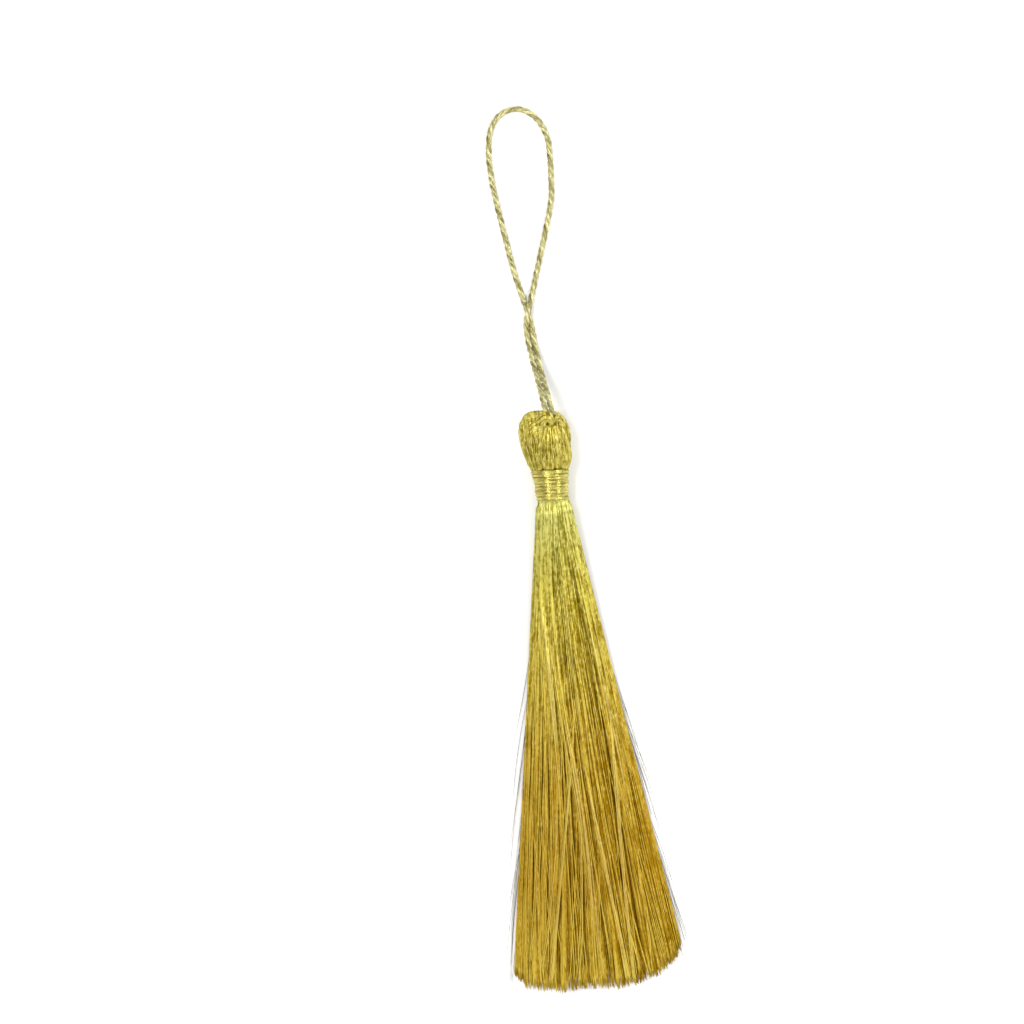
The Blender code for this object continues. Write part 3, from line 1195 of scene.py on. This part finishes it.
@dataclass
class HeadFloss:
    """The strands of the head: out of the pit, over the shoulders and down into the neck.

    partings rows: degrees round the neck, how wide the parting is there, in degrees. layers and
    underside_layers rows: how many strands, millimetres under the surface. curls rows: how many strands
    and the points along their middle.
    """

    form: HankForm
    pit_direction: tuple[float, float, float] = (0.31, 0.44, 0.84)
    pit_angle: float = 0.20
    neck_angle: float = 2.27
    belly_angle: float = 1.12
    belly_pull: float = 1.25
    under_angle: float = 1.3
    points: int = 30
    radius: float = 0.155
    layers: tuple[tuple[int, float], ...] = ((230, 0.62), (230, 0.30), (170, 0.10))
    underside_layers: tuple[tuple[int, float], ...] = ((120, 0.50), (120, 0.26))
    partings: tuple[tuple[float, float], ...] = (
        (74.0, 4.0), (112.0, 4.0), (140.0, 4.0), (20.0, 7.0), (205.0, 5.0)
    )
    curls: tuple[tuple[int, tuple[tuple[float, float, float], ...]], ...] = (
        (14, ((-2.8, 62.3, 9.7), (-1.6, 63.6, 10.2), (-0.3, 64.2, 10.9), (0.9, 63.6, 11.1), (1.7, 62.5, 10.6),
              (1.6, 61.3, 9.5))),
        (12, ((-2.0, 61.2, 10.0), (-1.0, 62.6, 10.6), (0.1, 63.2, 11.0), (1.0, 62.8, 11.0), (1.4, 62.1, 10.4),
              (1.3, 61.1, 9.6))),
        (12, ((-1.5, 60.2, 10.3), (-0.8, 61.5, 10.7), (0.0, 62.3, 10.9), (0.6, 62.3, 10.8), (0.9, 61.8, 10.3),
              (0.9, 61.0, 9.6))),
        (12, ((3.7, 61.8, 9.3), (3.3, 62.8, 9.9), (2.8, 63.3, 10.6), (2.3, 62.9, 10.8), (2.2, 62.0, 10.2),
              (2.3, 61.1, 9.4))),
        (10, ((3.9, 60.6, 9.3), (3.3, 61.6, 9.9), (3.0, 62.1, 10.4), (2.8, 62.0, 10.4), (2.7, 61.5, 10.0),
              (2.8, 60.8, 9.4))),
    )

    def _belly(self, start_turn: np.ndarray) -> np.ndarray:
        """Directions at which strands pass the head's widest part.

        Args:
            start_turn: Radians round the pit at which each strand leaves it, 0 towards the neck.

        Returns:
            A unit vector for each strand.
        """
        pole, heading = self._heading(start_turn)
        return math.cos(self.belly_angle) * pole + math.sin(self.belly_angle) * heading

    def _heading(self, start_turn: np.ndarray) -> tuple[np.ndarray, np.ndarray]:
        """The pit's direction and the directions square to it in which strands leave.

        Args:
            start_turn: Radians round the pit, 0 towards the neck.

        Returns:
            The pit's direction, and a unit vector for each strand.
        """
        pole = unit(np.array(self.pit_direction))
        towards = unit(np.array([0.0, -1.0, 0.0]) + pole[1] * pole)
        sideways = np.cross(towards, pole)
        return pole, np.cos(start_turn)[:, None] * towards + np.sin(start_turn)[:, None] * sideways

    def _arc(
        self, start_turn: np.ndarray, belly: np.ndarray, neck_turn: np.ndarray, shares: np.ndarray
    ) -> np.ndarray:
        """Directions along strands from the pit's rim to the neck.

        Args:
            start_turn: Radians round the pit at which each strand leaves it, 0 towards the neck.
            belly: The direction at which each strand passes the head's widest part.
            neck_turn: Radians round the neck at which each strand goes under the binding.
            shares: Shares of the way.

        Returns:
            Unit vectors, one for each strand and share.
        """
        pole, heading = self._heading(start_turn)
        rim = math.cos(self.pit_angle) * pole + math.sin(self.pit_angle) * heading
        neck = round_length(self.neck_angle, neck_turn)
        t = shares[None, :, None]
        middle = 2 * t * (1 - t) * self.belly_pull * belly[:, None]
        return unit((1 - t) ** 2 * rim[:, None] + middle + t**2 * neck[:, None])

    def _layer(
        self,
        path: np.ndarray,
        neck_turn: np.ndarray,
        inset: float,
        unevenness: float,
        rng: np.random.Generator,
    ) -> tuple[np.ndarray, np.ndarray, np.ndarray]:
        """One layer of strands.

        Args:
            path: The strands' directions from the head's middle.
            neck_turn: Radians round the neck of each strand.
            inset: Millimetres under the surface.
            unevenness: How much the depth varies, in millimetres.
            rng: The source of random numbers.

        Returns:
            Their points, their radii and how far out they lie.
        """
        count, places = path.shape[:2]
        depth = inset + wander(rng, count, np.linspace(0.0, 1.0, places), 1.6, unevenness)
        depth = depth + rng.normal(0.0, unevenness, (count, 1))
        centres = self._with_ends(self.form.head(path, depth), neck_turn, inset)
        steps = np.linspace(0.0, 1.0, centres.shape[1])
        radii = thickness(count, steps, self.radius, (0.02, 0.02), rng)
        return centres, radii, np.broadcast_to(-depth.mean(axis=1)[:, None], radii.shape)

    def _parted(self, turn: np.ndarray) -> np.ndarray:
        """Angles round the neck, pushed out of the partings.

        Args:
            turn: Radians round the neck.

        Returns:
            The new angles in radians.
        """
        degrees = np.degrees(turn) % 360.0
        for middle, width in self.partings:
            off = (degrees - middle + 180.0) % 360.0 - 180.0
            degrees = degrees + np.sign(off) * width * np.exp(-((off / (2.0 * width)) ** 2))
        return np.radians(degrees)

    def strands(self) -> Strands:
        """The strands of all layers.

        Returns:
            The batch.
        """
        rng = np.random.default_rng(23)
        shares = np.linspace(0.0, 1.0, self.points)
        parts = []
        for number, (count, inset) in enumerate(self.layers):
            start = math.tau * (np.arange(count) + rng.uniform(-0.4, 0.4, count)) / count
            belly = self._belly(start)
            neck = np.arctan2(belly[:, 2], belly[:, 0])
            if number:
                neck = self._parted(neck)
            path = self._arc(start, belly, neck, shares)
            drift = (wander(rng, count, shares, 0.7, 0.018) * np.sin(math.pi * shares))[..., None]
            path = unit(path + drift * unit(np.cross(path, np.gradient(path, axis=1))))
            centres, radii, out = self._layer(path, neck, inset, 0.07, rng)
            sector = rng.uniform(0.15, 0.95, 46)[(start / math.tau * 46).astype(int) % 46]
            tones = held(0.55 * sector + 0.45 * rng.uniform(0.0, 1.0, count))
            parts.append(Strands(centres, radii, tones, out, sides=4, columns_deep=2))
        return join_strands(parts)

    def underside(self) -> Strands:
        """The strands that run over the head's tip and back underneath it.

        Returns:
            The batch.
        """
        rng = np.random.default_rng(29)
        shares = np.linspace(0.0, 1.0, self.points)
        parts = []
        for count, inset in self.underside_layers:
            neck = np.radians(np.linspace(-205.0, 25.0, count) + rng.uniform(-0.8, 0.8, count))
            path = self._arc(neck + 1.5 * math.pi, round_length(self.under_angle, neck), neck, shares)
            centres, radii, out = self._layer(path, neck, inset, 0.05, rng)
            centres[..., 2] = np.maximum(centres[..., 2], self.radius + 0.02)
            tones = rng.uniform(0.05, 0.95, count)
            parts.append(Strands(centres, radii, tones, out, sides=4, columns_deep=2))
        return join_strands(parts)

    def _with_ends(self, centres: np.ndarray, neck_turn: np.ndarray, inset: float) -> np.ndarray:
        """Adds where the strands dive into the pit and under the binding.

        Args:
            centres: The strands' points over the head.
            neck_turn: Radians round the neck of each strand.
            inset: Millimetres under the surface.

        Returns:
            The points with both ends added.
        """
        inward = -unit(np.array(self.pit_direction))
        rim = centres[:, 0]
        middle = rim.mean(axis=0)
        dives = [rim + inward * deep + (middle - rim) * gather for deep, gather in ((1.9, 0.35), (0.7, 0.12))]
        tucks = [
            self.form.section(np.full(len(rim), drop), neck_turn, np.full(len(rim), inset * 0.6 + 0.1))
            for drop in (13.1, 14.6)
        ]
        joined = np.concatenate([np.stack(dives, axis=1), centres, np.stack(tucks, axis=1)], axis=1)
        return soften(joined, 2)

    def flank_lock(self) -> Strands:
        """The raised lock that runs down the right flank and tucks in above the neck.

        Returns:
            The batch.
        """
        rng = np.random.default_rng(31)
        count = 22
        knots = np.array(
            [(2.4, 62.2, 9.0), (3.6, 60.2, 8.8), (4.2, 58.0, 8.1), (4.4, 56.0, 7.7), (4.4, 54.0, 7.4),
             (4.3, 52.6, 7.2), (3.4, 51.2, 6.9)]
        )
        shares = np.linspace(0.0, 1.0, self.points + 4)
        line = smooth_line(knots, shares)
        turn = rng.uniform(0.0, math.tau, (count, 1)) + 1.5 * shares
        reach = np.sqrt(rng.uniform(0.0, 1.0, (count, 1))) * 0.42 * np.sin(math.pi * (0.12 + 0.76 * shares))
        centres = np.repeat(line[None], count, axis=0)
        centres[..., 0] += reach * np.cos(turn)
        centres[..., 2] += reach * np.sin(turn) * 0.8 + 0.15
        radii = thickness(count, shares, self.radius, (0.05, 0.05), rng)
        tones = rng.uniform(0.45, 1.0, count)
        return Strands(centres, radii, tones, np.full(radii.shape, 0.1), sides=4, columns_deep=2)

    def collar(self) -> Strands:
        """The strands that curl over the cord's legs and down into the pit.

        Returns:
            The batch.
        """
        rng = np.random.default_rng(37)
        shares = np.linspace(0.0, 1.0, self.points + 4)
        parts = []
        for count, knots in self.curls:
            line = smooth_line(np.array(knots), shares)
            fan = rng.uniform(-0.5, 0.5, (count, 1)) * (1.0 - 0.55 * shares)
            layer = rng.uniform(-0.22, 0.10, (count, 1)) + wander(rng, count, shares, 0.8, 0.03)
            side = unit(np.cross(np.gradient(line, axis=0), (0.0, 0.0, 1.0)))
            centres = line[None] + fan[..., None] * side[None]
            centres[..., 2] += layer
            radii = thickness(count, shares, self.radius, (0.03, 0.03), rng)
            tones = rng.uniform(0.25, 1.0, count)
            parts.append(Strands(centres, radii, tones, layer, sides=4, columns_deep=2))
        return join_strands(parts)

    def build(self, material: bpy.types.Material) -> None:
        """Makes the head's floss.

        Args:
            material: The floss's finish.
        """
        piece = join_strands([self.strands(), self.flank_lock(), self.collar()]).build("head_floss")
        place_piece(piece, material, Slot.FLOSS)
        place_piece(self.underside().build("head_underside_floss"), material, Slot.FLOSS)


@dataclass
class SkirtFloss:
    """The skirt's strands: a bed all round, the locks that lie on it and single strands across them.

    locks rows: place across, from -1 to 1, at the neck, a quarter, half and three quarters of the way
    and the hem, half its width at the hem in the same measure, millimetres of lift, tone.
    crossings rows: share at which a strand comes to the top, place across there and at its middle, and
    share at its end and place across there. The first wisps of them are wide. Each of the folds is a
    line of points: share of the skirt's length, place across, width in the same measure and how hard
    it presses down, where a negative one lifts.
    """

    form: HankForm
    radius: float = 0.155
    bed_strands: int = 880
    bed_points: int = 27
    lock_points: int = 42
    bundles: int = 3
    strands_in_bundle: int = 15
    locks: tuple[tuple[float, ...], ...] = (
        (-0.93, -0.95, -0.96, -0.96, -0.96, 0.050, 0.05, 0.70),
        (-0.82, -0.86, -0.87, -0.87, -0.86, 0.050, 0.20, 0.68),
        (-0.70, -0.77, -0.77, -0.77, -0.76, 0.048, 0.10, 0.62),
        (-0.56, -0.70, -0.62, -0.64, -0.66, 0.052, 0.25, 0.66),
        (-0.46, -0.66, -0.50, -0.50, -0.55, 0.050, 0.35, 0.72),
        (-0.36, -0.55, -0.42, -0.38, -0.44, 0.045, 0.45, 0.80),
        (-0.28, -0.36, -0.28, -0.30, -0.30, 0.030, -0.35, 0.30),
        (-0.20, -0.46, -0.18, -0.14, -0.19, 0.045, 0.05, 0.50),
        (-0.10, -0.38, -0.13, -0.02, -0.05, 0.050, 0.40, 0.66),
        (0.00, -0.16, -0.02, 0.05, 0.07, 0.045, 0.15, 0.52),
        (0.10, 0.06, 0.10, 0.19, 0.19, 0.045, 0.45, 0.64),
        (0.22, 0.16, 0.25, 0.29, 0.30, 0.045, 0.30, 0.58),
        (0.32, 0.27, 0.36, 0.40, 0.41, 0.045, 0.10, 0.46),
        (0.42, 0.38, 0.48, 0.50, 0.50, 0.035, -0.15, 0.36),
        (0.52, 0.66, 0.66, 0.62, 0.62, 0.050, 0.40, 0.58),
        (0.64, 0.72, 0.76, 0.73, 0.73, 0.052, 0.25, 0.52),
        (0.78, 0.84, 0.86, 0.84, 0.84, 0.052, 0.15, 0.62),
        (0.92, 0.94, 0.95, 0.95, 0.95, 0.050, 0.05, 0.66),
    )
    crossings: tuple[tuple[float, float, float, float, float], ...] = (
        (0.38, 0.10, -0.31, 0.99, -0.58),
        (0.30, 0.97, 0.58, 1.00, 0.42),
        (0.46, 0.04, 0.23, 0.99, 0.34),
        (0.20, -0.62, -0.14, 0.98, 0.05),
        (0.55, -0.40, -0.52, 0.96, -0.70),
        (0.62, 0.46, 0.50, 0.99, 0.58),
        (0.50, 0.28, 0.36, 0.98, 0.50),
        (0.66, -0.80, -0.74, 0.99, -0.68),
        (0.58, -0.02, -0.12, 0.98, -0.24),
        (0.70, 0.74, 0.68, 0.99, 0.62),
        (0.48, 0.60, 0.72, 0.97, 0.82),
        (0.74, 0.12, 0.06, 1.00, 0.00),
    )
    folds: tuple[tuple[tuple[float, float, float, float], ...], ...] = (
        ((0.12, 0.33, 0.030, 0.7), (0.25, 0.55, 0.040, 1.0), (0.37, 0.63, 0.040, 1.0),
         (0.44, 0.66, 0.030, 0.6)),
        ((0.39, -0.36, 0.030, 0.6), (0.50, -0.25, 0.060, 1.0), (0.62, -0.22, 0.065, 0.9),
         (0.72, -0.20, 0.060, 0.8), (0.85, -0.29, 0.065, 1.0), (0.97, -0.35, 0.060, 0.9)),
        ((0.34, -0.10, 0.030, 0.7), (0.42, -0.05, 0.035, 0.8)),
        ((0.51, -0.06, 0.035, 0.8), (0.62, 0.08, 0.045, 0.9), (0.71, 0.13, 0.035, 0.7)),
        ((0.40, 0.50, 0.035, 0.5), (0.57, 0.55, 0.040, 0.6), (0.80, 0.60, 0.050, 0.6),
         (0.94, 0.55, 0.040, 0.6)),
        ((0.70, 0.32, 0.035, 0.7), (0.82, 0.30, 0.035, 0.7)),
        ((0.20, -0.57, 0.035, 0.5), (0.36, -0.41, 0.035, 0.7)),
        ((0.36, -0.86, 0.022, 0.5), (0.56, -0.84, 0.022, 0.5)),
        ((0.38, -0.72, 0.022, 0.6), (0.55, -0.66, 0.022, 0.6)),
        ((0.52, -0.60, 0.030, 0.6), (0.64, -0.57, 0.030, 0.6)),
        ((0.70, -0.62, 0.030, 0.6), (0.97, -0.56, 0.030, 0.7)),
        ((0.56, -0.46, 0.022, 0.5), (0.70, -0.42, 0.022, 0.5)),
        ((0.84, 0.10, 0.022, 0.5), (0.99, 0.16, 0.022, 0.6)),
        ((0.84, -0.12, 0.022, 0.5), (0.99, -0.16, 0.022, 0.6)),
        ((0.55, 0.84, 0.022, 0.4), (0.75, 0.86, 0.022, 0.4)),
        ((0.18, -0.76, 0.040, -0.5), (0.37, -0.47, 0.050, -0.8), (0.46, -0.42, 0.040, -0.6)),
        ((0.28, -0.50, 0.040, -0.5), (0.53, -0.12, 0.050, -0.8), (0.75, 0.02, 0.045, -0.7),
         (0.97, 0.03, 0.040, -0.6)),
        ((0.30, 0.70, 0.050, -0.4), (0.46, 0.76, 0.050, -0.5), (0.70, 0.74, 0.040, -0.4)),
    )
    fold_depth: float = 0.70
    wide_wisps: int = 3
    loose_strands: int = 46
    neck_pull: float = 0.15
    neck_height: float = 4.7

    def _folded(self, lateral: np.ndarray, shares: np.ndarray) -> np.ndarray:
        """How far the folds press points down, or lift them, in millimetres.

        Args:
            lateral: Places across.
            shares: Shares of the skirt's length, one for each point along a strand.

        Returns:
            The distance down at each point.
        """
        total = np.zeros_like(lateral)
        for fold in self.folds:
            places, middles, widths, strengths = np.array(fold).T
            middle = np.interp(shares, places, middles)
            width = np.interp(shares, places, widths)
            ends = held(1.0 - np.maximum(places[0] - shares, shares - places[-1]) / 0.05)
            strength = np.interp(shares, places, strengths) * ends
            total += strength * np.exp(-(((lateral - middle) / width) ** 2))
        return self.fold_depth * np.clip(total, -1.0, 1.2)

    def bed(self) -> Strands:
        """Strands evenly all round the skirt, on top and underneath.

        Returns:
            The batch.
        """
        rng = np.random.default_rng(7)
        count = self.bed_strands
        shares = np.linspace(-0.02, 1.0, self.bed_points)
        turn = math.tau * (np.arange(count) + rng.uniform(-0.5, 0.5, count)) / count
        turn = turn[:, None] + wander(rng, count, shares, 1.2, 0.012)
        inset = rng.choice([-0.1, 0.1, 0.3], count)[:, None] * np.clip(0.35 + 2.0 * shares, 0.3, 1.0)
        lateral = np.cos(turn) * 0.985
        level = np.sin(turn)
        pressed = -inset - 0.6 * self._folded(lateral, shares)
        out = np.where(level > 0.0, pressed, inset * 0.6) + wander(rng, count, shares, 1.5, 0.06)
        end = self.form.yarn_end(lateral[:, -1]) + rng.normal(0.3, 0.55, count)
        centres = self.form.skirt(lateral, level, shares, end[:, None], out)
        radii = thickness(count, held(shares), self.radius, (0.0, 0.006), rng)
        centres = self._laid(self._gathered(centres, shares), radii)
        # Painted shade: the bed, lying mostly under the locks, takes darker tones than they do.
        tones = rng.beta(2.0, 2.4, count) * 0.85
        return Strands(centres, radii, tones, out, sides=3, columns_deep=3)

    def _gathered(self, centres: np.ndarray, shares: np.ndarray) -> np.ndarray:
        """Strands drawn in where they leave the binding.

        Args:
            centres: The strands' points.
            shares: Their shares of the way.

        Returns:
            The points, drawn towards the neck's middle above the skirt's first section.
        """
        pull = 1.0 - self.neck_pull * held((0.004 - shares) / 0.007)[None, :, None]
        middle = np.array([0.0, 0.0, self.neck_height])
        drawn = middle + (centres - middle) * pull
        drawn[..., 1] = centres[..., 1]
        return drawn

    def _laid(self, centres: np.ndarray, radii: np.ndarray) -> np.ndarray:
        """The points, none of them under the surface that the tassel lies on."""
        centres[..., 2] = np.maximum(centres[..., 2], radii + 0.01)
        return centres

    def lock_strands(self) -> Strands:
        """The strands of the locks on top of the skirt.

        Returns:
            The batch.
        """
        rng = np.random.default_rng(13)
        shares = -0.015 + 1.015 * np.linspace(0.0, 1.0, self.lock_points) ** 1.2
        stations = np.linspace(0.0, 1.0, 5)
        powers = np.vander(stations, 5)
        parts = []
        for row in self.locks:
            curve = np.linalg.solve(powers, np.array(row[:5]))
            middle = np.polyval(curve, held(shares))
            width, lift, tone = row[5:]
            spread = width * (1.0 + 2.2 * np.exp(-shares / 0.18))
            for bundle in range(self.bundles):
                count = self.strands_in_bundle
                place = (bundle - (self.bundles - 1) / 2.0) * 0.68 + rng.uniform(-0.12, 0.12)
                across = np.clip(rng.normal(0.0, 0.42, (count, 1)), -0.9, 0.9)
                gather = 0.62 - 0.30 * shares
                weave = wander(rng, count, shares, 1.4, 0.16)
                sway = wander(rng, 1, shares, 0.9, 0.12)
                offset = place + across * gather + weave * 0.45 + sway
                lateral = np.clip(middle + spread * offset, -0.995, 0.995)
                crown = 0.65 * lift * held(shares / 0.25) * (1.0 - 0.5 * np.clip(offset, -1, 1) ** 2)
                layer = rng.uniform(-0.35, 0.22, (count, 1)) + wander(rng, count, shares, 1.7, 0.07)
                rounding = -0.20 * np.clip(np.abs(offset), 0.0, 1.2) ** 2 * held(shares * 2.0)
                out = crown + layer + rounding + rng.normal(0.0, 0.05) - self._folded(lateral, shares)
                hem = self.form.yarn_end(lateral[:, -1]) + rng.normal(0.0, 0.22)
                end = hem + np.clip(rng.normal(0.0, 0.42, count), -1.0, 1.2)
                level = np.ones_like(lateral)
                centres = self.form.skirt(lateral, level, shares, end[:, None], out)
                radii = thickness(count, held(shares), self.radius, (0.0, 0.006), rng)
                centres = self._laid(self._gathered(centres, shares), radii)
                bundle_tone = tone + rng.normal(0.0, 0.20)
                tones = held(bundle_tone + rng.normal(0.0, 0.30, count))
                parts.append(Strands(centres, radii, tones, out, sides=4, columns_deep=3))
        return join_strands(parts)

    def crossing_strands(self) -> Strands:
        """Single strands and thin wisps that lie across the locks.

        Returns:
            The batch.
        """
        rng = np.random.default_rng(17)
        steps = np.linspace(0.0, 1.0, self.lock_points)
        parts = []
        rows = [(row, 7, 0.011, 1.0) for row in self.crossings[: self.wide_wisps]]
        rows += [(row, 3, 0.012, 0.9) for row in self.crossings[self.wide_wisps :]]
        for _ in range(self.loose_strands):
            start = rng.uniform(0.02, 0.6)
            place = rng.uniform(-0.92, 0.92)
            lean = rng.normal(0.0, 0.09)
            row = (start, place, place + lean, rng.uniform(0.9, 1.0), place + 2.0 * lean)
            rows.append((row, 1, 0.01, rng.uniform(0.5, 1.0)))
        for (start, first, middle, last, final), count, spread, tone in rows:
            shares = start + (last - start) * steps
            bulge = 2 * (2 * middle - (first + final) / 2) * steps * (1 - steps)
            curve = first * (1 - steps) ** 2 + bulge + final * steps**2
            offset = rng.normal(0.0, spread, (count, 1)) + wander(rng, count, steps, 1.5, 0.006)
            lateral = np.clip(curve + offset, -0.98, 0.98)
            arch = np.sin(math.pi * np.clip(steps * 1.25, 0.0, 0.5))
            out = (0.42 + 0.04 * count) * arch + rng.normal(0.0, 0.08, (count, 1))
            out = out - 0.9 * held(1.0 - steps / 0.08)
            end = self.form.yarn_end(lateral[:, -1]) + rng.normal(0.0, 0.5, count)
            centres = self.form.skirt(lateral, np.ones_like(lateral), shares, end[:, None], out)
            radii = thickness(count, steps, self.radius * 0.95, (0.03, 0.02), rng)
            tones = held(tone + rng.normal(0.0, 0.06, count))
            parts.append(Strands(self._laid(centres, radii), radii, tones, out, sides=4, columns_deep=1))
        return join_strands(parts)

    def build(self, material: bpy.types.Material) -> None:
        """Makes the skirt's floss.

        Args:
            material: The floss's finish.
        """
        place_piece(self.bed().build("skirt_bed_floss"), material, Slot.FLOSS)
        locks = self.lock_strands()
        half = len(locks.tones) // 2
        halves = {"skirt_locks_left": slice(None, half), "skirt_locks_right": slice(half, None)}
        for name, chosen in halves.items():
            part = Strands(
                locks.centres[chosen], locks.radii[chosen], locks.tones[chosen], locks.out[chosen], 4, 3
            )
            place_piece(part.build(name), material, Slot.FLOSS)
        place_piece(self.crossing_strands().build("skirt_crossing_strands"), material, Slot.FLOSS)


@dataclass
class StrayHairs:
    """Loose filaments beside the skirt's edges."""

    form: HankForm
    count: int = 34
    points: int = 18
    radius: float = 0.06

    def build(self) -> None:
        """Makes the loose filaments."""
        rng = np.random.default_rng(41)
        steps = np.linspace(0.0, 1.0, self.points)
        side = np.where(rng.uniform(size=self.count) < 0.45, -1.0, 1.0)[:, None]
        start = rng.uniform(0.25, 0.78, (self.count, 1))
        length = rng.uniform(0.15, 0.45, (self.count, 1))
        shares = np.minimum(start + length * steps, 1.03)
        bow = rng.normal(0.0, 0.5, (self.count, 1)) * np.sin(math.pi * steps)
        away = rng.uniform(0.0, 2.8, (self.count, 1)) * steps + bow - 0.5 * (1.0 - steps)
        x = side * (self.form.half_width(shares) + away)
        end = self.form.yarn_end(side * 0.97)
        y = self.form.skirt_y + shares * (end - self.form.skirt_y)
        z = 0.25 + rng.uniform(0.0, 1.0, (self.count, 1)) * (1.0 - 0.8 * steps)
        centres = np.stack([x, y, z], axis=-1)
        radii = thickness(self.count, steps, self.radius, (0.1, 0.3), rng)
        piece = Strands(centres, radii, rng.uniform(0.0, 1.0, self.count), sides=3, columns_deep=1)
        place_piece(piece.build("stray_hairs"), HairFinish("loose_filaments").material(), Slot.FLOSS)


# --------------------------------------------------------------------------------------------------
# The studio
# --------------------------------------------------------------------------------------------------


@dataclass
class Lamp:
    """A soft square lamp that faces the tassel."""

    name: str
    place: tuple[float, float, float]
    size: float
    power: float

    def build(self, target: np.ndarray) -> None:
        """Hangs the lamp.

        Args:
            target: The point that it faces.
        """
        light = bpy.data.lights.new(self.name, "AREA")
        light.size = self.size
        light.energy = self.power
        lamp = bpy.data.objects.new(self.name, light)
        lamp.location = np.array(self.place) + target
        from_target = lamp.location - type(lamp.location)(target)
        lamp.rotation_euler = from_target.to_track_quat("Z", "Y").to_euler()
        bpy.context.scene.collection.objects.link(lamp)


@dataclass
class Studio:
    """The pale floor, the soft lamps and the camera straight above."""

    turn_degrees: float = 5.6
    view_width: float = 231.4 * MM
    off_axis: float = -9.43 * MM
    above_middle: float = 8.55 * MM
    lens: float = 100.0
    sensor: float = 36.0
    floor_size: float = 3.0
    world_strength: float = 0.48
    aim: tuple[float, float, float] = (0.0, 0.02, 0.0)
    lamps: tuple[Lamp, ...] = (
        Lamp("left_lamp", (-0.36, 0.18, 0.86), 0.34, 5.8),
        Lamp("right_lamp", (0.74, 0.12, 0.64), 0.34, 5.0),
        Lamp("hem_lamp", (0.05, -0.80, 0.60), 0.50, 3.6),
    )

    def build_camera(self) -> None:
        """Sets the camera straight above the tassel."""
        low, high = (np.array(corner) for corner in cad_box)
        camera = bpy.data.cameras.new("camera")
        camera.lens = self.lens
        camera.sensor_width = self.sensor
        camera.clip_start = 0.01
        holder = bpy.data.objects.new("camera", camera)
        height = self.view_width * self.lens / self.sensor
        middle = (low[1] + high[1]) / 2.0
        holder.location = (self.off_axis, middle + self.above_middle, height)
        holder.rotation_euler = (0.0, 0.0, -math.radians(self.turn_degrees))
        bpy.context.scene.collection.objects.link(holder)
        bpy.context.scene.camera = holder

    def build_room(self) -> None:
        """Lays the floor and sets the lamps and the pale surroundings."""
        half = self.floor_size / 2.0 / MM
        corners = np.array([(-half, -half, 0.0), (half, -half, 0.0), (half, half, 0.0), (-half, half, 0.0)])
        floor = mesh_object("studio_floor", corners, [np.array([[0, 1, 2, 3]])])
        shader = Shader("white_paper")
        x, y, _ = shader.place()
        fibre = shader.noise(3.0, x * 900.0, y * 900.0)
        tint = shader.mix(fibre, (0.93, 0.93, 0.93), (0.95, 0.95, 0.95))
        material = shader.finish({"Base Color": tint, "Roughness": 0.9}, fibre, 0.05, 0.0001)
        floor.data.materials.append(material)
        target = np.array(self.aim)
        for lamp in self.lamps:
            lamp.build(target)
        world = bpy.data.worlds.new("pale_room")
        world.use_nodes = True
        background = next(node for node in world.node_tree.nodes if node.type == "BACKGROUND")
        background.inputs["Color"].default_value = (1.0, 1.0, 1.0, 1.0)
        background.inputs["Strength"].default_value = self.world_strength
        bpy.context.scene.world = world
        bpy.context.scene.view_settings.view_transform = "Standard"


def main() -> None:
    """Builds the tassel piece by piece and sets up its studio."""
    logging.basicConfig(level=logging.INFO, format="%(name)s: %(message)s")
    studio = Studio()
    studio.build_camera()
    HangingCord().build()
    form = HankForm()
    NeckBinding().build()
    HankCore(form).build()
    floss = FlossFinish("gold_silk_floss", form.tip_y * MM, form.skirt_y * MM, form.hem_y * MM).material()
    HeadFloss(form).build(floss)
    SkirtFloss(form).build(floss)
    StrayHairs(form).build()
    studio.build_room()


if __name__ == "__main__":
    main()
